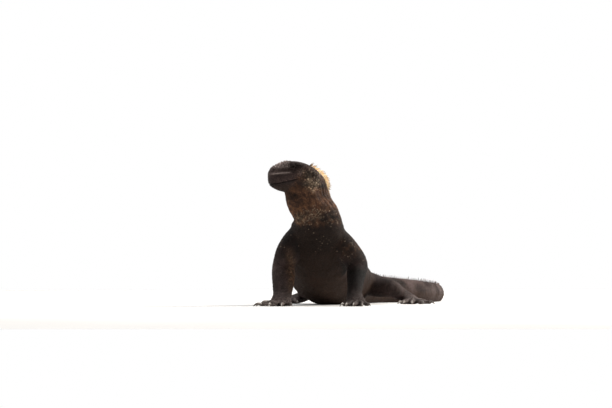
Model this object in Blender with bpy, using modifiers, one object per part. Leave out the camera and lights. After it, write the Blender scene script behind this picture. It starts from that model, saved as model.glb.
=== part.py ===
"""A marine iguana, life size, sitting up on straight forelegs with its head turned to its right.

Run it with blender --background --python part.py, or from Blender's text editor.

Sizes are written in millimetres and become metres when a mesh is made. The animal faces -Y, its own
left side is +X and the ground is z = 0. The flesh is modelled whole from lofted sections, blended by
a voxel remesh, and then parted into named pieces by thin cuts. Digits, claws, crest spines and the
scutes of the crown are fused to the pieces that they grow from.
"""

import math
import random

import bmesh
import bpy
import numpy as np
from mathutils import Matrix, Vector
from mathutils.bvhtree import BVHTree

MM = 0.001
SEAM = 0.3

# Flesh: how finely it is blended and how many triangles are kept
VOXEL = 2.2
SMOOTHING_STEPS = 7
FLESH_TRIANGLES = 3000
SPANS = 6
BODY_SIDES = 28
LIMB_SIDES = 16
ZONE_SIDES = 12

# Spine from inside the skull to the tail tip: centre, dorsal direction, half width, height above
# and below the centre, and how far the top narrows to a ridge
SPINE = {
    "skull": ((-19, 11, 173), (0.55, 0.20, 0.81), 15, 16, 12, 0.05),
    "nape": ((-16, 12, 161), (0.92, 0.30, 0.15), 22, 27, 28.5, 0.16),
    "neck": ((-13.5, 14, 139), (0.90, 0.45, 0.05), 24, 29.5, 29.5, 0.14),
    "neck_base": ((-2, 21, 116), (0.50, 0.80, 0.30), 33, 29, 31, 0.08),
    "shoulders": ((0, 36, 90), (0.08, 0.72, 0.70), 38, 31, 31, 0.05),
    "ribs": ((5.5, 82, 61), (0.02, 0.42, 0.90), 46, 32, 40, 0.05),
    "belly": ((14.5, 138, 42), (0.00, 0.12, 0.99), 52, 32, 43, 0.06),
    "loin": ((37, 192, 35), (0.00, 0.05, 1.00), 39, 28, 36, 0.08),
    "pelvis": ((47, 236, 29), (0.00, 0.00, 1.00), 30, 25, 30, 0.10),
    "tail_root": ((64, 280, 21.5), (0.00, 0.00, 1.00), 19, 20, 22, 0.18),
    "tail_a": ((94, 328, 18.0), (0.00, 0.00, 1.00), 13.5, 18, 18.5, 0.25),
    "tail_b": ((134, 372, 15.5), (0.00, 0.00, 1.00), 10.5, 16, 16, 0.28),
    "tail_c": ((164, 424, 13.0), (0.00, 0.00, 1.00), 8.5, 14, 13.5, 0.30),
    "tail_d": ((174, 482, 10.8), (0.00, 0.00, 1.00), 6.8, 11.5, 11.2, 0.30),
    "tail_e": ((165, 540, 8.4), (0.00, 0.00, 1.00), 5.2, 9, 8.8, 0.30),
    "tail_f": ((150, 596, 6.0), (0.00, 0.00, 1.00), 3.8, 6.3, 6.4, 0.25),
    "tail_tip": ((146, 646, 3.2), (0.00, 0.00, 1.00), 2.2, 3.2, 3.6, 0.15),
}
SPINE_NAMES = list(SPINE)

# Places of the cuts across the spine, as station and share of the way to the next
SPINE_CUTS = (
    ("neck_base", 0.50),
    ("ribs", 0.15),
    ("loin", 0.00),
    ("pelvis", 0.70),
    ("tail_a", 0.60),
    ("tail_c", 0.10),
    ("tail_d", 0.40),
    ("tail_e", 0.70),
)
TRUNK_NODES = ("neck", "chest", "belly", "pelvis", "tail_1", "tail_2", "tail_3", "tail_4", "tail_5")

# Forelegs: height, place behind the hand line, distance from the midline, half width and half depth
ARM_LEFT = (
    ("root", 13, 42, 88, 18, 19),
    ("shoulder", 27, 33, 83, 16.5, 18.5),
    ("upper", 41, 33, 69, 15.5, 17.5),
    ("elbow", 51.5, 35, 54, 14, 14.5),
    ("forearm", 50, 25, 40, 12.5, 13.5),
    ("shank", 48.5, 13, 26, 10.5, 11),
    ("wrist", 47.5, 3, 14, 10.5, 9),
    ("palm", 48.5, -8, 6.8, 13, 7.8),
    ("knuckles", 50, -16, 4.3, 12.5, 5.2),
)
ARM_RIGHT = (
    ("root", -14, 42, 91, 18, 19),
    ("shoulder", -27, 33, 86, 17, 18.5),
    ("upper", -38.5, 33, 70, 16.5, 17.5),
    ("elbow", -45, 35, 51, 15, 14.5),
    ("forearm", -45, 25, 39, 15.5, 13.5),
    ("shank", -45.5, 12, 26, 14, 11),
    ("wrist", -46.5, 1, 14, 12.5, 9),
    ("palm", -48, -9, 6.8, 14, 7.8),
    ("knuckles", -50, -17, 4.3, 13, 5.2),
)

# Hind legs, in the pelvis's own frame: forward, outward, up, half width and half depth
PELVIS_PLACE = (44, 228)
PELVIS_TURN = 13.5
ANKLE_CUT = (-0.15, 0.68, -0.72)
LEG = (
    ("root", -4, 8, 29, 17, 17),
    ("hip", -1, 22, 28, 17, 16.5),
    ("thigh", 11, 43, 23.5, 14.5, 14.5),
    ("knee", 24, 62, 21.5, 12, 12),
    ("shin", 7, 67, 16.5, 10, 10),
    ("ankle", -11, 72, 11.5, 8.5, 8.5),
    ("heel", -6, 80, 8, 9, 7.5),
    ("sole", 8, 87, 5.4, 10.5, 6.4),
    ("toe_line", 21, 92, 4, 10.5, 5),
)
RIGHT_LEG_TUCK = 0.18
TUCK_FROM = 30
ZONE_MARGIN = 3.0

# Digits: share across the paw from the inner edge, turn away from the paw's line, length, radius
HAND_DIGITS = (
    (-0.80, -42, 15, 3.0),
    (-0.45, -18, 23, 3.2),
    (0.00, 2, 28, 3.3),
    (0.45, 23, 28, 3.2),
    (0.85, 54, 18, 3.0),
)
FOOT_DIGITS = (
    (-0.80, -34, 15, 3.0),
    (-0.45, -15, 24, 3.2),
    (0.00, 2, 34, 3.4),
    (0.40, 20, 42, 3.4),
    (0.80, 52, 27, 3.1),
)
# How far each paw's digits turn outwards together, and the share of their spread that it keeps
PAW_TURNS = {"hand_left": -17, "hand_right": 11, "foot_left": -16, "foot_right": -12}
PAW_SPREADS = {"hand_left": 0.55, "hand_right": 0.95, "foot_left": 0.85, "foot_right": 1.0}
PAW_FRONT_SHARE = 0.86
PAW_FRONT_CURVE = 7
DIGIT_SIDES = 6
DIGIT_ROOT = 2.2
# Along a digit: share of its length, height and thickness as multiples of its radius
DIGIT_ROWS = (
    (0.00, 0.75, 1.05),
    (0.36, 1.45, 1.08),
    (0.68, 0.92, 1.00),
    (1.00, 0.60, 0.72),
)
DIGIT_FLATNESS = 0.92
CLAW_LENGTH = 9.5
CLAW_SIDES = 4
CLAW_ARCH = 1.5
CLAW_ARCH_START = 0.15
CLAW_DROP = 1.9
CLAW_NARROWNESS = 0.62
# Along a claw: share of its length, and thickness as a multiple of the digit's radius
CLAW_ROWS = ((-0.25, 0.62), (0.15, 0.60), (0.60, 0.40), (1.00, 0.07))

# Head, in its own frame: distance behind the snout tip, half width, top, bottom
SNOUT_TIP = (-65, 2, 168)
HEAD_YAW = 12
HEAD_PITCH = -3
HEAD_PIVOT = 30
HEAD_LEVEL = 1.0
HEAD_SECTIONS = (
    (0.0, 4.8, 5.0, -6.5),
    (1.0, 7.2, 7.8, -9.2),
    (2.8, 9.3, 10.6, -11.3),
    (6.0, 11.3, 13.6, -13.8),
    (12.0, 14.0, 16.6, -17.0),
    (20.0, 17.0, 19.3, -19.6),
    (28.0, 18.8, 20.4, -21.0),
    (36.0, 20.3, 20.3, -22.0),
    (44.0, 22.0, 18.6, -22.5),
    (52.0, 22.5, 15.4, -22.0),
    (60.0, 20.5, 10.5, -20.0),
    (66.0, 15.0, 4.0, -14.0),
)
HEAD_SPANS = 2
CROWN_STEPS = 9
CHIN_STEPS = 5
CROWN_BOXINESS = 2.7
JAW_BOXINESS = 2.2
MOUTH_FRONT = -8.3
MOUTH_CORNER = -2.4
MOUTH_CORNER_DISTANCE = 38
MOUTH_START = 1.5
MOUTH_CURVE = 1.5
MOUTH_DEPTH = 1.4
LIP_HEIGHT = 1.7
LIP_SWELL = 0.5
# Limits of the mouth's and lip's places as shares of the jaw's depth
MOUTH_LOWEST = 0.78
LIP_WIDEST = 0.15

# Swellings and hollows of the head: distance, sideways, up, reach along and across, height
HEAD_RELIEF = (
    ("brow", 30, 14.5, 18.5, 9.0, 3.6, 1.8),
    ("eye_hollow", 31, 18.5, 11.5, 7.0, 5.0, -2.4),
    ("cheek", 45, 21.0, -9.0, 10.0, 8.0, 2.2),
    ("temple", 41, 18.0, 10.0, 6.0, 5.0, -1.2),
    ("nostril_swell", 7, 7.5, 10.5, 3.6, 3.4, 1.3),
    ("canthus", 16, 13.0, 5.0, 8.0, 2.4, -1.0),
    ("upper_lip", 16, 14.0, -3.0, 15.0, 3.0, 0.8),
)
EYE_PLACE = (31.0, 12.0, 11.8)
EYE_RADIUS = 5.0
EYE_FACING = (0.10, 1.0, 0.10)
LID_FORWARD = 3.5
LID_RADIUS = 4.1
LID_THICKNESS = 1.45
LID_HEIGHT_SHARE = 0.86
LID_TWIST = 0.13
NOSTRIL_PLACE = (6.6, 8.6, 10.6)
NOSTRIL_RADII = (1.5, 1.8, 1.2)
EAR_PLACE = (50.5, 22.5, 3.5)
EAR_RADII = (2.6, 2.2, 3.6)

# Scutes of the crown, and the crest
SCUTE_ROWS = ((5.5, 2), (10.0, 3), (14.5, 4), (19.0, 5), (23.5, 4), (28.5, 3), (33.5, 3))
SCUTE_RADIUS = 2.3
SCUTE_HEIGHT = 2.4
SCUTE_SIDES = 5
SCUTE_ROOT = 1.6
SCUTE_STAGGER = 1.2
# Scutes are largest at this distance behind the snout's tip: place, reach, least size, what is added
SCUTE_PEAK = (19, 8, 0.85, 0.3)
SCUTE_SHARES = (1.35, 0.30)
SCUTE_LEAN = 0.035
# Half width of the field of scutes at three distances behind the snout's tip
SCUTE_FIELD = ((5, 3.5), (20, 11.0), (34, 9.0))
# Crest spines along the spine's stations: station number, length, pitch
CREST_ROWS = (
    (0.2, 6.8, 2.4),
    (0.9, 9.0, 2.8),
    (1.3, 9.5, 5.6),
    (2.0, 9.5, 6.4),
    (3.0, 7.6, 6.8),
    (4.0, 5.8, 7.4),
    (5.5, 5.4, 7.8),
    (8.0, 4.6, 7.8),
    (12.0, 4.8, 7.8),
    (15.3, 2.8, 7.4),
)
SPINE_ROOT = 2.5
SPINE_BASE = 0.31
SPINE_WIDTH = 0.20
SPINE_MIDDLE = 0.45
SPINE_LEAN = 0.5
SPINE_LEVELS = ((1.15, 0.0), (0.72, 0.35))
CREST_REACH = 40
CREST_SEED = 7

# Plane between head and neck: through the throat's crease and the back of the crown
THROAT_POINT = (-43, 147)
CROWN_END_POINT = (6, 168)
HEAD_CUT_SLANT = 0.2

SHARP_ANGLE = math.radians(38)
SKIN_COLOUR = (0.055, 0.042, 0.036, 1)
NECK_COLOUR = (0.105, 0.062, 0.038, 1)
EYE_COLOUR = (0.02, 0.012, 0.008, 1)


def clear_scene():
    """Start from an empty scene."""
    for item in list(bpy.data.objects):
        bpy.data.objects.remove(item)


def unit(vector):
    vector = np.asarray(vector, float)
    return vector / np.linalg.norm(vector)


def smooth_rows(rows, spans):
    """Points of a Catmull-Rom curve through the rows, which may hold any number of columns."""
    rows = np.array(rows, float)
    ends = np.vstack([2 * rows[0] - rows[1], rows, 2 * rows[-1] - rows[-2]])
    made = []
    for i in range(1, len(ends) - 2):
        before, here, there, after = ends[i - 1 : i + 3]
        for t in np.linspace(0, 1, spans, endpoint=False):
            linear = (there - before) * t
            square = (2 * before - 5 * here + 4 * there - after) * t**2
            cube = (3 * here - before - 3 * there + after) * t**3
            made.append(0.5 * (2 * here + linear + square + cube))
    made.append(ends[-2])
    return np.array(made)


def frames(centres, dorsal):
    """Directions along, up and sideways at each point of a path."""
    along = np.gradient(centres, axis=0)
    along /= np.linalg.norm(along, axis=1)[:, None]
    up = dorsal - (dorsal * along).sum(1)[:, None] * along
    up /= np.linalg.norm(up, axis=1)[:, None]
    return along, up, np.cross(along, up)


def section_rings(rows, sides):
    """Rings of points for rows of centre, dorsal direction, half width, above, below and peak."""
    centres, dorsal = rows[:, :3], rows[:, 3:6]
    half, above, below, peak = rows[:, 6:10].T
    _, up, side = frames(centres, dorsal)
    angles = np.linspace(0, 2 * math.pi, sides, endpoint=False)
    rings = []
    for i, centre in enumerate(centres):
        reach_up = np.where(np.sin(angles) > 0, above[i], below[i]) * np.sin(angles)
        narrowing = 1 - peak[i] * np.abs(np.sin(angles))
        reach_out = half[i] * np.cos(angles) * narrowing
        rings.append(centre + reach_out[:, None] * side[i] + reach_up[:, None] * up[i])
    return rings


def loft(name, rings):
    """A closed mesh through rings of equally many points, with a fan over each end."""
    sides = len(rings[0])
    points = [p for ring in rings for p in ring]
    faces = []
    for i in range(len(rings) - 1):
        for k in range(sides):
            after = (k + 1) % sides
            first, second = i * sides, (i + 1) * sides
            faces.append((first + k, second + k, second + after, first + after))
    for ring, start in ((rings[0], 0), (rings[-1], (len(rings) - 1) * sides)):
        points.append(np.mean(ring, axis=0))
        middle = len(points) - 1
        faces += [(middle, start + k, start + (k + 1) % sides) for k in range(sides)]
    return solid(name, points, faces)


def solid(name, points, faces):
    """A mesh object from points in millimetres, with its faces pointing out."""
    mesh = bpy.data.meshes.new(name)
    mesh.from_pydata([tuple(float(c) * MM for c in p) for p in points], [], faces)
    form = bmesh.new()
    form.from_mesh(mesh)
    bmesh.ops.recalc_face_normals(form, faces=form.faces)
    bmesh.ops.triangulate(form, faces=form.faces)
    form.to_mesh(mesh)
    form.free()
    made = bpy.data.objects.new(name, mesh)
    bpy.context.scene.collection.objects.link(made)
    return made


def settled(item):
    """Replace an object's mesh by what its modifiers make of it."""
    bpy.context.view_layer.update()
    graph = bpy.context.evaluated_depsgraph_get()
    mesh = bpy.data.meshes.new_from_object(item.evaluated_get(graph))
    item.modifiers.clear()
    item.data = mesh
    return item


def boolean(target, others, operation):
    """Apply one Boolean of the target with a list of closed objects, which are then removed."""
    group = bpy.data.collections.new("operands")
    bpy.context.scene.collection.children.link(group)
    for other in others:
        group.objects.link(other)
    modifier = target.modifiers.new(operation.lower(), "BOOLEAN")
    modifier.operand_type = "COLLECTION"
    modifier.collection = group
    modifier.operation = operation
    modifier.solver = "MANIFOLD"
    settled(target)
    for other in others:
        bpy.data.objects.remove(other)
    bpy.data.collections.remove(group)
    return target


def copied(item, name):
    twin = item.copy()
    twin.data = item.data.copy()
    twin.name = name
    bpy.context.scene.collection.objects.link(twin)
    return twin


def ellipsoid(name, centre, radii, facing=(0, 1, 0), segments=20, rings=12):
    """An ellipsoid whose second radius lies along the facing direction."""
    mesh = bpy.data.meshes.new(name)
    form = bmesh.new()
    bmesh.ops.create_uvsphere(form, u_segments=segments, v_segments=rings, radius=1)
    turn = Vector(facing).to_track_quat("Y", "Z").to_matrix().to_4x4()
    size = Matrix.Diagonal((*[r * MM for r in radii], 1))
    place = Matrix.Translation(Vector(centre) * MM)
    bmesh.ops.transform(form, matrix=place @ turn @ size, verts=form.verts)
    form.to_mesh(mesh)
    form.free()
    made = bpy.data.objects.new(name, mesh)
    bpy.context.scene.collection.objects.link(made)
    return made


def ring_lid(name, centre, facing):
    """A torus round the eye, which the eyeball's socket cuts into two lids."""
    bpy.ops.mesh.primitive_torus_add(
        major_segments=16,
        minor_segments=6,
        major_radius=LID_RADIUS * MM,
        minor_radius=LID_THICKNESS * MM,
    )
    made = bpy.context.object
    made.name = name
    turn = Vector(facing).to_track_quat("Z", "Y").to_matrix().to_4x4()
    twist = Matrix.Rotation(LID_TWIST, 4, "Z")
    squash = Matrix.Diagonal((1, LID_HEIGHT_SHARE, 1, 1))
    made.data.transform(Matrix.Translation(Vector(centre) * MM) @ turn @ squash @ twist)
    return made


def largest_part(item):
    """Keep only the closed surface with the greatest volume."""
    form = bmesh.new()
    form.from_mesh(item.data)
    form.verts.ensure_lookup_table()
    seen, best, most = set(), [], 0.0
    for start in form.verts:
        if start in seen:
            continue
        group, queue = [], [start]
        seen.add(start)
        while queue:
            here = queue.pop()
            group.append(here)
            for edge in here.link_edges:
                other = edge.other_vert(here)
                if other not in seen:
                    seen.add(other)
                    queue.append(other)
        faces = {f for v in group for f in v.link_faces}
        volume = abs(sum(f.calc_area() * f.normal.dot(f.calc_center_median()) for f in faces))
        if volume > most:
            best, most = group, volume
    keep = set(best)
    bmesh.ops.delete(form, geom=[v for v in form.verts if v not in keep], context="VERTS")
    form.to_mesh(item.data)
    form.free()
    return item


def kept_side(item, point, normal):
    """Cut away what lies beyond a plane."""
    bpy.ops.mesh.primitive_cube_add(size=2)
    block = bpy.context.object
    turn = Vector(normal).to_track_quat("Z", "Y").to_matrix().to_4x4()
    place = Matrix.Translation(Vector(point) * MM)
    block.data.transform(place @ turn @ Matrix.Translation((0, 0, 1)))
    return boolean(item, [block], "DIFFERENCE")


def parted(item, point, normal, near_name, far_name):
    """Part an object by a thin cut. The normal points to the far piece."""
    point, normal = np.array(point, float), unit(normal)
    far = copied(item, far_name)
    kept_side(far, point + normal * SEAM / 2, -normal)
    kept_side(item, point - normal * SEAM / 2, normal)
    item.name = near_name
    return largest_part(item), largest_part(far)


def spine_rows():
    rows = [(*c, *d, w, a, b, p) for c, d, w, a, b, p in SPINE.values()]
    return smooth_rows(rows, SPANS)


def spine_row_number(station, share):
    return (SPINE_NAMES.index(station) + share) * SPANS


def limb_rows(stations):
    """Rows for a limb whose sections are ellipses, with their depth turned to face forwards."""
    places = np.array([s[1:4] for s in stations], float)
    sizes = np.array([s[4:6] for s in stations], float)
    rows = []
    for place, (half, depth) in zip(places, sizes):
        rows.append((*place, 0, 0, 1, half, depth, depth, 0))
    rows = smooth_rows(rows, SPANS)
    along = np.gradient(rows[:, :3], axis=0)
    along /= np.linalg.norm(along, axis=1)[:, None]
    for i, way in enumerate(along):
        forward = np.array([0.0, -1.0, 0.0])
        upward = np.array([0.0, 0.0, 1.0])
        rows[i, 3:6] = upward * math.hypot(way[0], way[1]) + forward * abs(way[2])
    return rows


def pelvis_frame(side):
    """Forward and outward directions of the pelvis, on the ground."""
    turn = math.radians(PELVIS_TURN)
    forward = np.array([-math.sin(turn), -math.cos(turn)])
    outward = np.array([math.cos(turn), -math.sin(turn)]) * side
    return forward, outward


def leg_stations(side, tuck):
    """Hind leg in the animal's frame, from its places in the pelvis's own frame."""
    forward, outward = pelvis_frame(side)
    made = []
    for name, ahead, out, up, half, depth in LEG:
        out -= tuck * max(out - TUCK_FROM, 0)
        place = np.array(PELVIS_PLACE) + forward * ahead + outward * out
        made.append((name, place[0], place[1], up, half, depth))
    return tuple(made)


def head_frame():
    """Directions of the head: towards the snout, to its left, and up; and the place of its level."""
    yaw, pitch = math.radians(HEAD_YAW), math.radians(HEAD_PITCH)
    flat = np.array([-math.cos(yaw), -math.sin(yaw), 0.0])
    upright = np.array([0.0, 0.0, 1.0])
    ahead = flat * math.cos(pitch) + upright * math.sin(pitch)
    left = np.cross(upright, flat)
    up = np.cross(ahead, left)
    pivot = np.array(SNOUT_TIP, float) - flat * HEAD_PIVOT
    return ahead, left, up, pivot


def head_point(distance, sideways, up_by):
    ahead, left, up, pivot = head_frame()
    return pivot + ahead * (HEAD_PIVOT - distance) + left * sideways + up * up_by


def mouth_level(distance):
    share = min(max(distance / MOUTH_CORNER_DISTANCE, 0), 1)
    return MOUTH_FRONT + (MOUTH_CORNER - MOUTH_FRONT) * share**MOUTH_CURVE


def relief(distance, sideways, up_by):
    """How far the swellings and hollows move the head's surface at a point of it."""
    total = 0.0
    for _, at, out, level, along, across, height in HEAD_RELIEF:
        square = ((distance - at) / along) ** 2
        square += ((abs(sideways) - out) ** 2 + (up_by - level) ** 2) / across**2
        total += height * math.exp(-square)
    return total


def head_side_rows(distance, half, top, bottom):
    """Points of one side of a head section from the crown down to the chin."""
    made = []
    for k in range(CROWN_STEPS + 1):
        angle = math.pi / 2 * (1 - k / CROWN_STEPS)
        out = half * math.cos(angle) ** (2 / CROWN_BOXINESS)
        rise = (top - HEAD_LEVEL) * math.sin(angle) ** (2 / CROWN_BOXINESS)
        made.append((out, HEAD_LEVEL + rise, 0))
    depth = HEAD_LEVEL - bottom
    mouth = min((HEAD_LEVEL - mouth_level(distance)) / depth, MOUTH_LOWEST)
    lip = min(LIP_HEIGHT / depth, LIP_WIDEST)
    open_here = MOUTH_START < distance < MOUTH_CORNER_DISTANCE
    swell = LIP_SWELL if open_here else 0
    groove = -MOUTH_DEPTH if open_here else 0
    shares = [(mouth - lip, swell), (mouth, groove), (mouth + lip, swell)]
    last = mouth + lip
    for k in range(1, CHIN_STEPS + 1):
        shares.append((last + (1 - last) * (k / CHIN_STEPS), 0))
    for share, shift in shares:
        share = min(share, 1.0)
        out = half * (1 - share**JAW_BOXINESS) ** (1 / JAW_BOXINESS)
        made.append((out, HEAD_LEVEL - depth * share, shift))
    return made


def head_rings():
    rings = []
    for distance, half, top, bottom in smooth_rows(HEAD_SECTIONS, HEAD_SPANS):
        side = head_side_rows(distance, half, top, bottom)
        ring = [(out, up, shift) for out, up, shift in side]
        ring += [(-out, up, shift) for out, up, shift in reversed(side[1:-1])]
        points = []
        for out, up, shift in ring:
            way = unit((out / half**2 + 1e-9, (up - HEAD_LEVEL) / top**2))
            push = relief(distance, out, up) + shift
            points.append(head_point(distance, out + way[0] * push, up + way[1] * push))
        rings.append(points)
    return rings


def surface_tree(item):
    return BVHTree.FromPolygons(
        [v.co[:] for v in item.data.vertices], [p.vertices[:] for p in item.data.polygons]
    )


def on_surface(tree, start, way):
    """Where a ray from outside first meets a surface, in millimetres."""
    place, _, _, _ = tree.ray_cast(Vector(start) * MM, Vector(way))
    return None if place is None else np.array(place) / MM


def crest_spine(name, root, up, back, length):
    """A flattened, back-curved spine with its root sunk into the skin."""
    side = np.cross(up, back)
    rings = []
    for height, (share, bend) in zip((-SPINE_ROOT, SPINE_MIDDLE * length), SPINE_LEVELS):
        centre = root + up * height * math.cos(SPINE_LEAN * bend)
        centre = centre + back * length * math.sin(SPINE_LEAN) * bend
        long, thin = back * length * SPINE_BASE * share, side * length * SPINE_WIDTH * share
        rings.append([centre + long, centre + thin, centre - long, centre - thin])
    tip = root + up * length * math.cos(SPINE_LEAN) + back * length * math.sin(SPINE_LEAN)
    faces = [(3, 2, 1, 0)]
    for k in range(4):
        after = (k + 1) % 4
        faces += [(k, after, 4 + after, 4 + k), (4 + k, 4 + after, 8)]
    return solid(name, rings[0] + rings[1] + [tip], faces)


def crest_places():
    """Station number and length of each crest spine from the crown to near the tail's tip."""
    fine = 40
    rows = smooth_rows([(*c,) for c, *_ in SPINE.values()], fine)
    run = np.concatenate([[0], np.cumsum(np.linalg.norm(np.diff(rows, axis=0), axis=1))])
    numbers = np.arange(len(rows)) / fine
    stations, lengths, pitches = np.array(CREST_ROWS).T
    draw = random.Random(CREST_SEED)
    made, place = [], float(np.interp(stations[0], numbers, run))
    while place < float(np.interp(stations[-1], numbers, run)):
        number = float(np.interp(place, run, numbers))
        length = float(np.interp(number, stations, lengths)) * draw.uniform(0.86, 1.12)
        made.append((number, length))
        place += float(np.interp(number, stations, pitches))
    return made


def add_crest(nodes, planes):
    """Fuse the crest's spines to the pieces that they grow from, clear of the cuts."""
    rows = spine_rows()
    along, _, _ = frames(rows[:, :3], rows[:, 3:6])
    numbers = np.arange(len(rows)) / SPANS
    groups = {name: [] for name in nodes}
    trees = {name: surface_tree(item) for name, item in nodes.items()}
    for number, length in crest_places():
        centre = np.array([np.interp(number, numbers, rows[:, c]) for c in range(3)])
        way_up = unit([np.interp(number, numbers, rows[:, 3 + c]) for c in range(3)])
        way_back = np.array([np.interp(number, numbers, along[:, c]) for c in range(3)])
        way_back = unit(way_back - way_up * np.dot(way_back, way_up))
        best, most = None, 0.0
        for name, tree in trees.items():
            place = on_surface(tree, centre + way_up * CREST_REACH, -way_up)
            if place is not None and np.dot(place - centre, way_up) > most:
                best, most = (name, place), np.dot(place - centre, way_up)
        if best is None:
            continue
        name, place = best
        reach = length * SPINE_BASE * SPINE_LEVELS[0][0] + SEAM * 2
        if min(abs(np.dot(place - point, normal)) for point, normal in planes) < reach:
            continue
        groups[name].append(crest_spine("spine", place, way_up, way_back, length))
    for name, made in groups.items():
        if made:
            largest_part(boolean(nodes[name], made, "UNION"))


def add_scutes(head):
    """Fuse the conical scutes of the crown and snout to the head."""
    tree = surface_tree(head)
    ahead, left, up, _ = head_frame()
    distances, halves = np.array(SCUTE_FIELD).T
    peak, spread, least, added = SCUTE_PEAK
    made = []
    for row, (distance, count) in enumerate(SCUTE_ROWS):
        half = float(np.interp(distance, distances, halves))
        for k in range(count):
            across = half * (2 * k / (count - 1) - 1)
            above = head_point(distance + (k % 2) * SCUTE_STAGGER, across, CREST_REACH)
            place = on_surface(tree, above, -up)
            out = unit(up + left * SCUTE_LEAN * across)
            side = np.cross(out, ahead)
            size = least + added * math.exp(-(((distance - peak) / spread) ** 2))
            rings = []
            for level, share in zip((-SCUTE_ROOT, SCUTE_HEIGHT * size), SCUTE_SHARES):
                ring = []
                for angle in np.linspace(0, 2 * math.pi, SCUTE_SIDES, endpoint=False):
                    offset = ahead * math.cos(angle) + side * math.sin(angle)
                    ring.append(place + out * level + offset * SCUTE_RADIUS * size * share)
                rings.append(ring)
            made.append(loft(f"scute_{row}_{k}", rings))
    return boolean(head, made, "UNION")


def digit(name, root, way, length, radius):
    """A toe that leaves the paw, arches over its knuckle and comes down to the ground."""
    rows = []
    start = root - way * radius * DIGIT_ROOT
    for share, height, swell in DIGIT_ROWS:
        place = start + way * (length + radius * DIGIT_ROOT) * share
        half = radius * swell
        depth = half * DIGIT_FLATNESS
        rows.append((place[0], place[1], radius * height, 0, 0, 1, half, depth, depth, 0))
    tip = np.array(rows[-1][:3])
    rings = section_rings(np.array(rows), DIGIT_SIDES)
    return [loft(name, rings), claw(name + "_claw", tip, way, radius)]


def claw(name, tip, way, radius):
    """A claw that curves from the toe's end down to the ground."""
    rows = []
    for share, size in CLAW_ROWS:
        place = tip + way * CLAW_LENGTH * share
        arch = math.sin(math.pi * min(max(share + CLAW_ARCH_START, 0), 1))
        rise = CLAW_ARCH * arch - CLAW_DROP * share**2
        depth = radius * size
        rows.append((*place[:2], tip[2] + rise, 0, 0, 1, depth * CLAW_NARROWNESS, depth, depth, 0))
    return loft(name, section_rings(np.array(rows, float), CLAW_SIDES))


def add_digits(paw, stations, digits, side, outward_turn, spread):
    """Fuse five clawed digits to the front of a paw."""
    wrist = np.array(stations[-3][1:4], float)
    front = np.array(stations[-1][1:4], float)
    line = unit((front - wrist)[:2])
    half = stations[-1][4] * PAW_FRONT_SHARE
    across = np.array([-line[1], line[0]])
    if across[0] * side < 0:
        across = -across
    pieces = []
    for number, (share, turn, length, radius) in enumerate(digits):
        angle = math.radians(turn * spread + outward_turn)
        way = line * math.cos(angle) + across * math.sin(angle)
        root = front[:2] + across * half * share - line * share**2 * PAW_FRONT_CURVE
        root, way = np.array([*root, 0.0]), np.array([*way, 0.0])
        pieces += digit(f"digit_{number}", root, way, length, radius)
    return largest_part(boolean(paw, pieces, "UNION"))


def flesh():
    """Neck, trunk, tail and limbs as one blended closed surface."""
    parts = [loft("trunk", section_rings(spine_rows(), BODY_SIDES))]
    for stations in limb_list().values():
        parts.append(loft("limb", section_rings(limb_rows(stations), LIMB_SIDES)))
    bpy.ops.object.select_all(action="DESELECT")
    for part in parts:
        part.select_set(True)
    bpy.context.view_layer.objects.active = parts[0]
    bpy.ops.object.join()
    body = bpy.context.object
    remesh = body.modifiers.new("blend", "REMESH")
    remesh.mode = "VOXEL"
    remesh.voxel_size = VOXEL * MM
    soften = body.modifiers.new("soften", "SMOOTH")
    soften.factor = 0.5
    soften.iterations = SMOOTHING_STEPS
    settled(body)
    triangles = sum(len(p.vertices) - 2 for p in body.data.polygons)
    thin = body.modifiers.new("thin", "DECIMATE")
    thin.ratio = FLESH_TRIANGLES / triangles
    body.modifiers.new("facets", "TRIANGULATE")
    return settled(body)


def limb_list():
    return {
        "arm_left": ARM_LEFT,
        "arm_right": ARM_RIGHT,
        "leg_left": leg_stations(1, 0),
        "leg_right": leg_stations(-1, RIGHT_LEG_TUCK),
    }


def hull(item):
    """Replace a mesh by its convex hull."""
    form = bmesh.new()
    form.from_mesh(item.data)
    bmesh.ops.delete(form, geom=form.faces[:], context="FACES_ONLY")
    made = bmesh.ops.convex_hull(form, input=form.verts, use_existing_faces=False)
    inside = {v for v in made["geom_interior"] if isinstance(v, bmesh.types.BMVert)}
    loose = {v for v in form.verts if not v.link_faces}
    bmesh.ops.delete(form, geom=list(inside | loose), context="VERTS")
    bmesh.ops.recalc_face_normals(form, faces=form.faces)
    form.to_mesh(item.data)
    form.free()
    return item


def grown(item, distance):
    """Move a mesh's faces outwards."""
    shell = item.modifiers.new("grow", "DISPLACE")
    shell.strength = distance * MM
    shell.mid_level = 0
    return settled(item)


def zone(stations, folded):
    """A sleeve round a limb, from its joint outwards, that is wider than the limb by a margin."""
    margin = ZONE_MARGIN
    rows = limb_rows(stations[1:])
    rows[:, 6:9] += margin
    first, last = rows[0].copy(), rows[-1].copy()
    first[:3] -= unit(rows[1, :3] - rows[0, :3]) * margin
    last[:3] += unit(rows[-1, :3] - rows[-2, :3]) * margin * 2
    rows = np.vstack([first, rows[SPANS // 2 :: SPANS // 2], last])
    sleeve = loft("zone", section_rings(rows, ZONE_SIDES))
    return hull(sleeve) if folded else sleeve


def part_limbs(body):
    """Take the four limbs off the body, each with the gap of a seam at its root."""
    limbs = {}
    for name, stations in limb_list().items():
        limb = copied(body, name)
        folded = name.startswith("leg")
        boolean(limb, [zone(stations, folded)], "INTERSECT")
        boolean(body, [grown(zone(stations, folded), SEAM)], "DIFFERENCE")
        limbs[name] = largest_part(limb)
    return limbs, largest_part(body)


def station_place(stations, name):
    names = [s[0] for s in stations]
    at = names.index(name)
    here = np.array(stations[at][1:4], float)
    before = np.array(stations[at - 1][1:4], float)
    after = np.array(stations[at + 1][1:4], float)
    return here, unit(unit(here - before) + unit(after - here))


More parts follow.
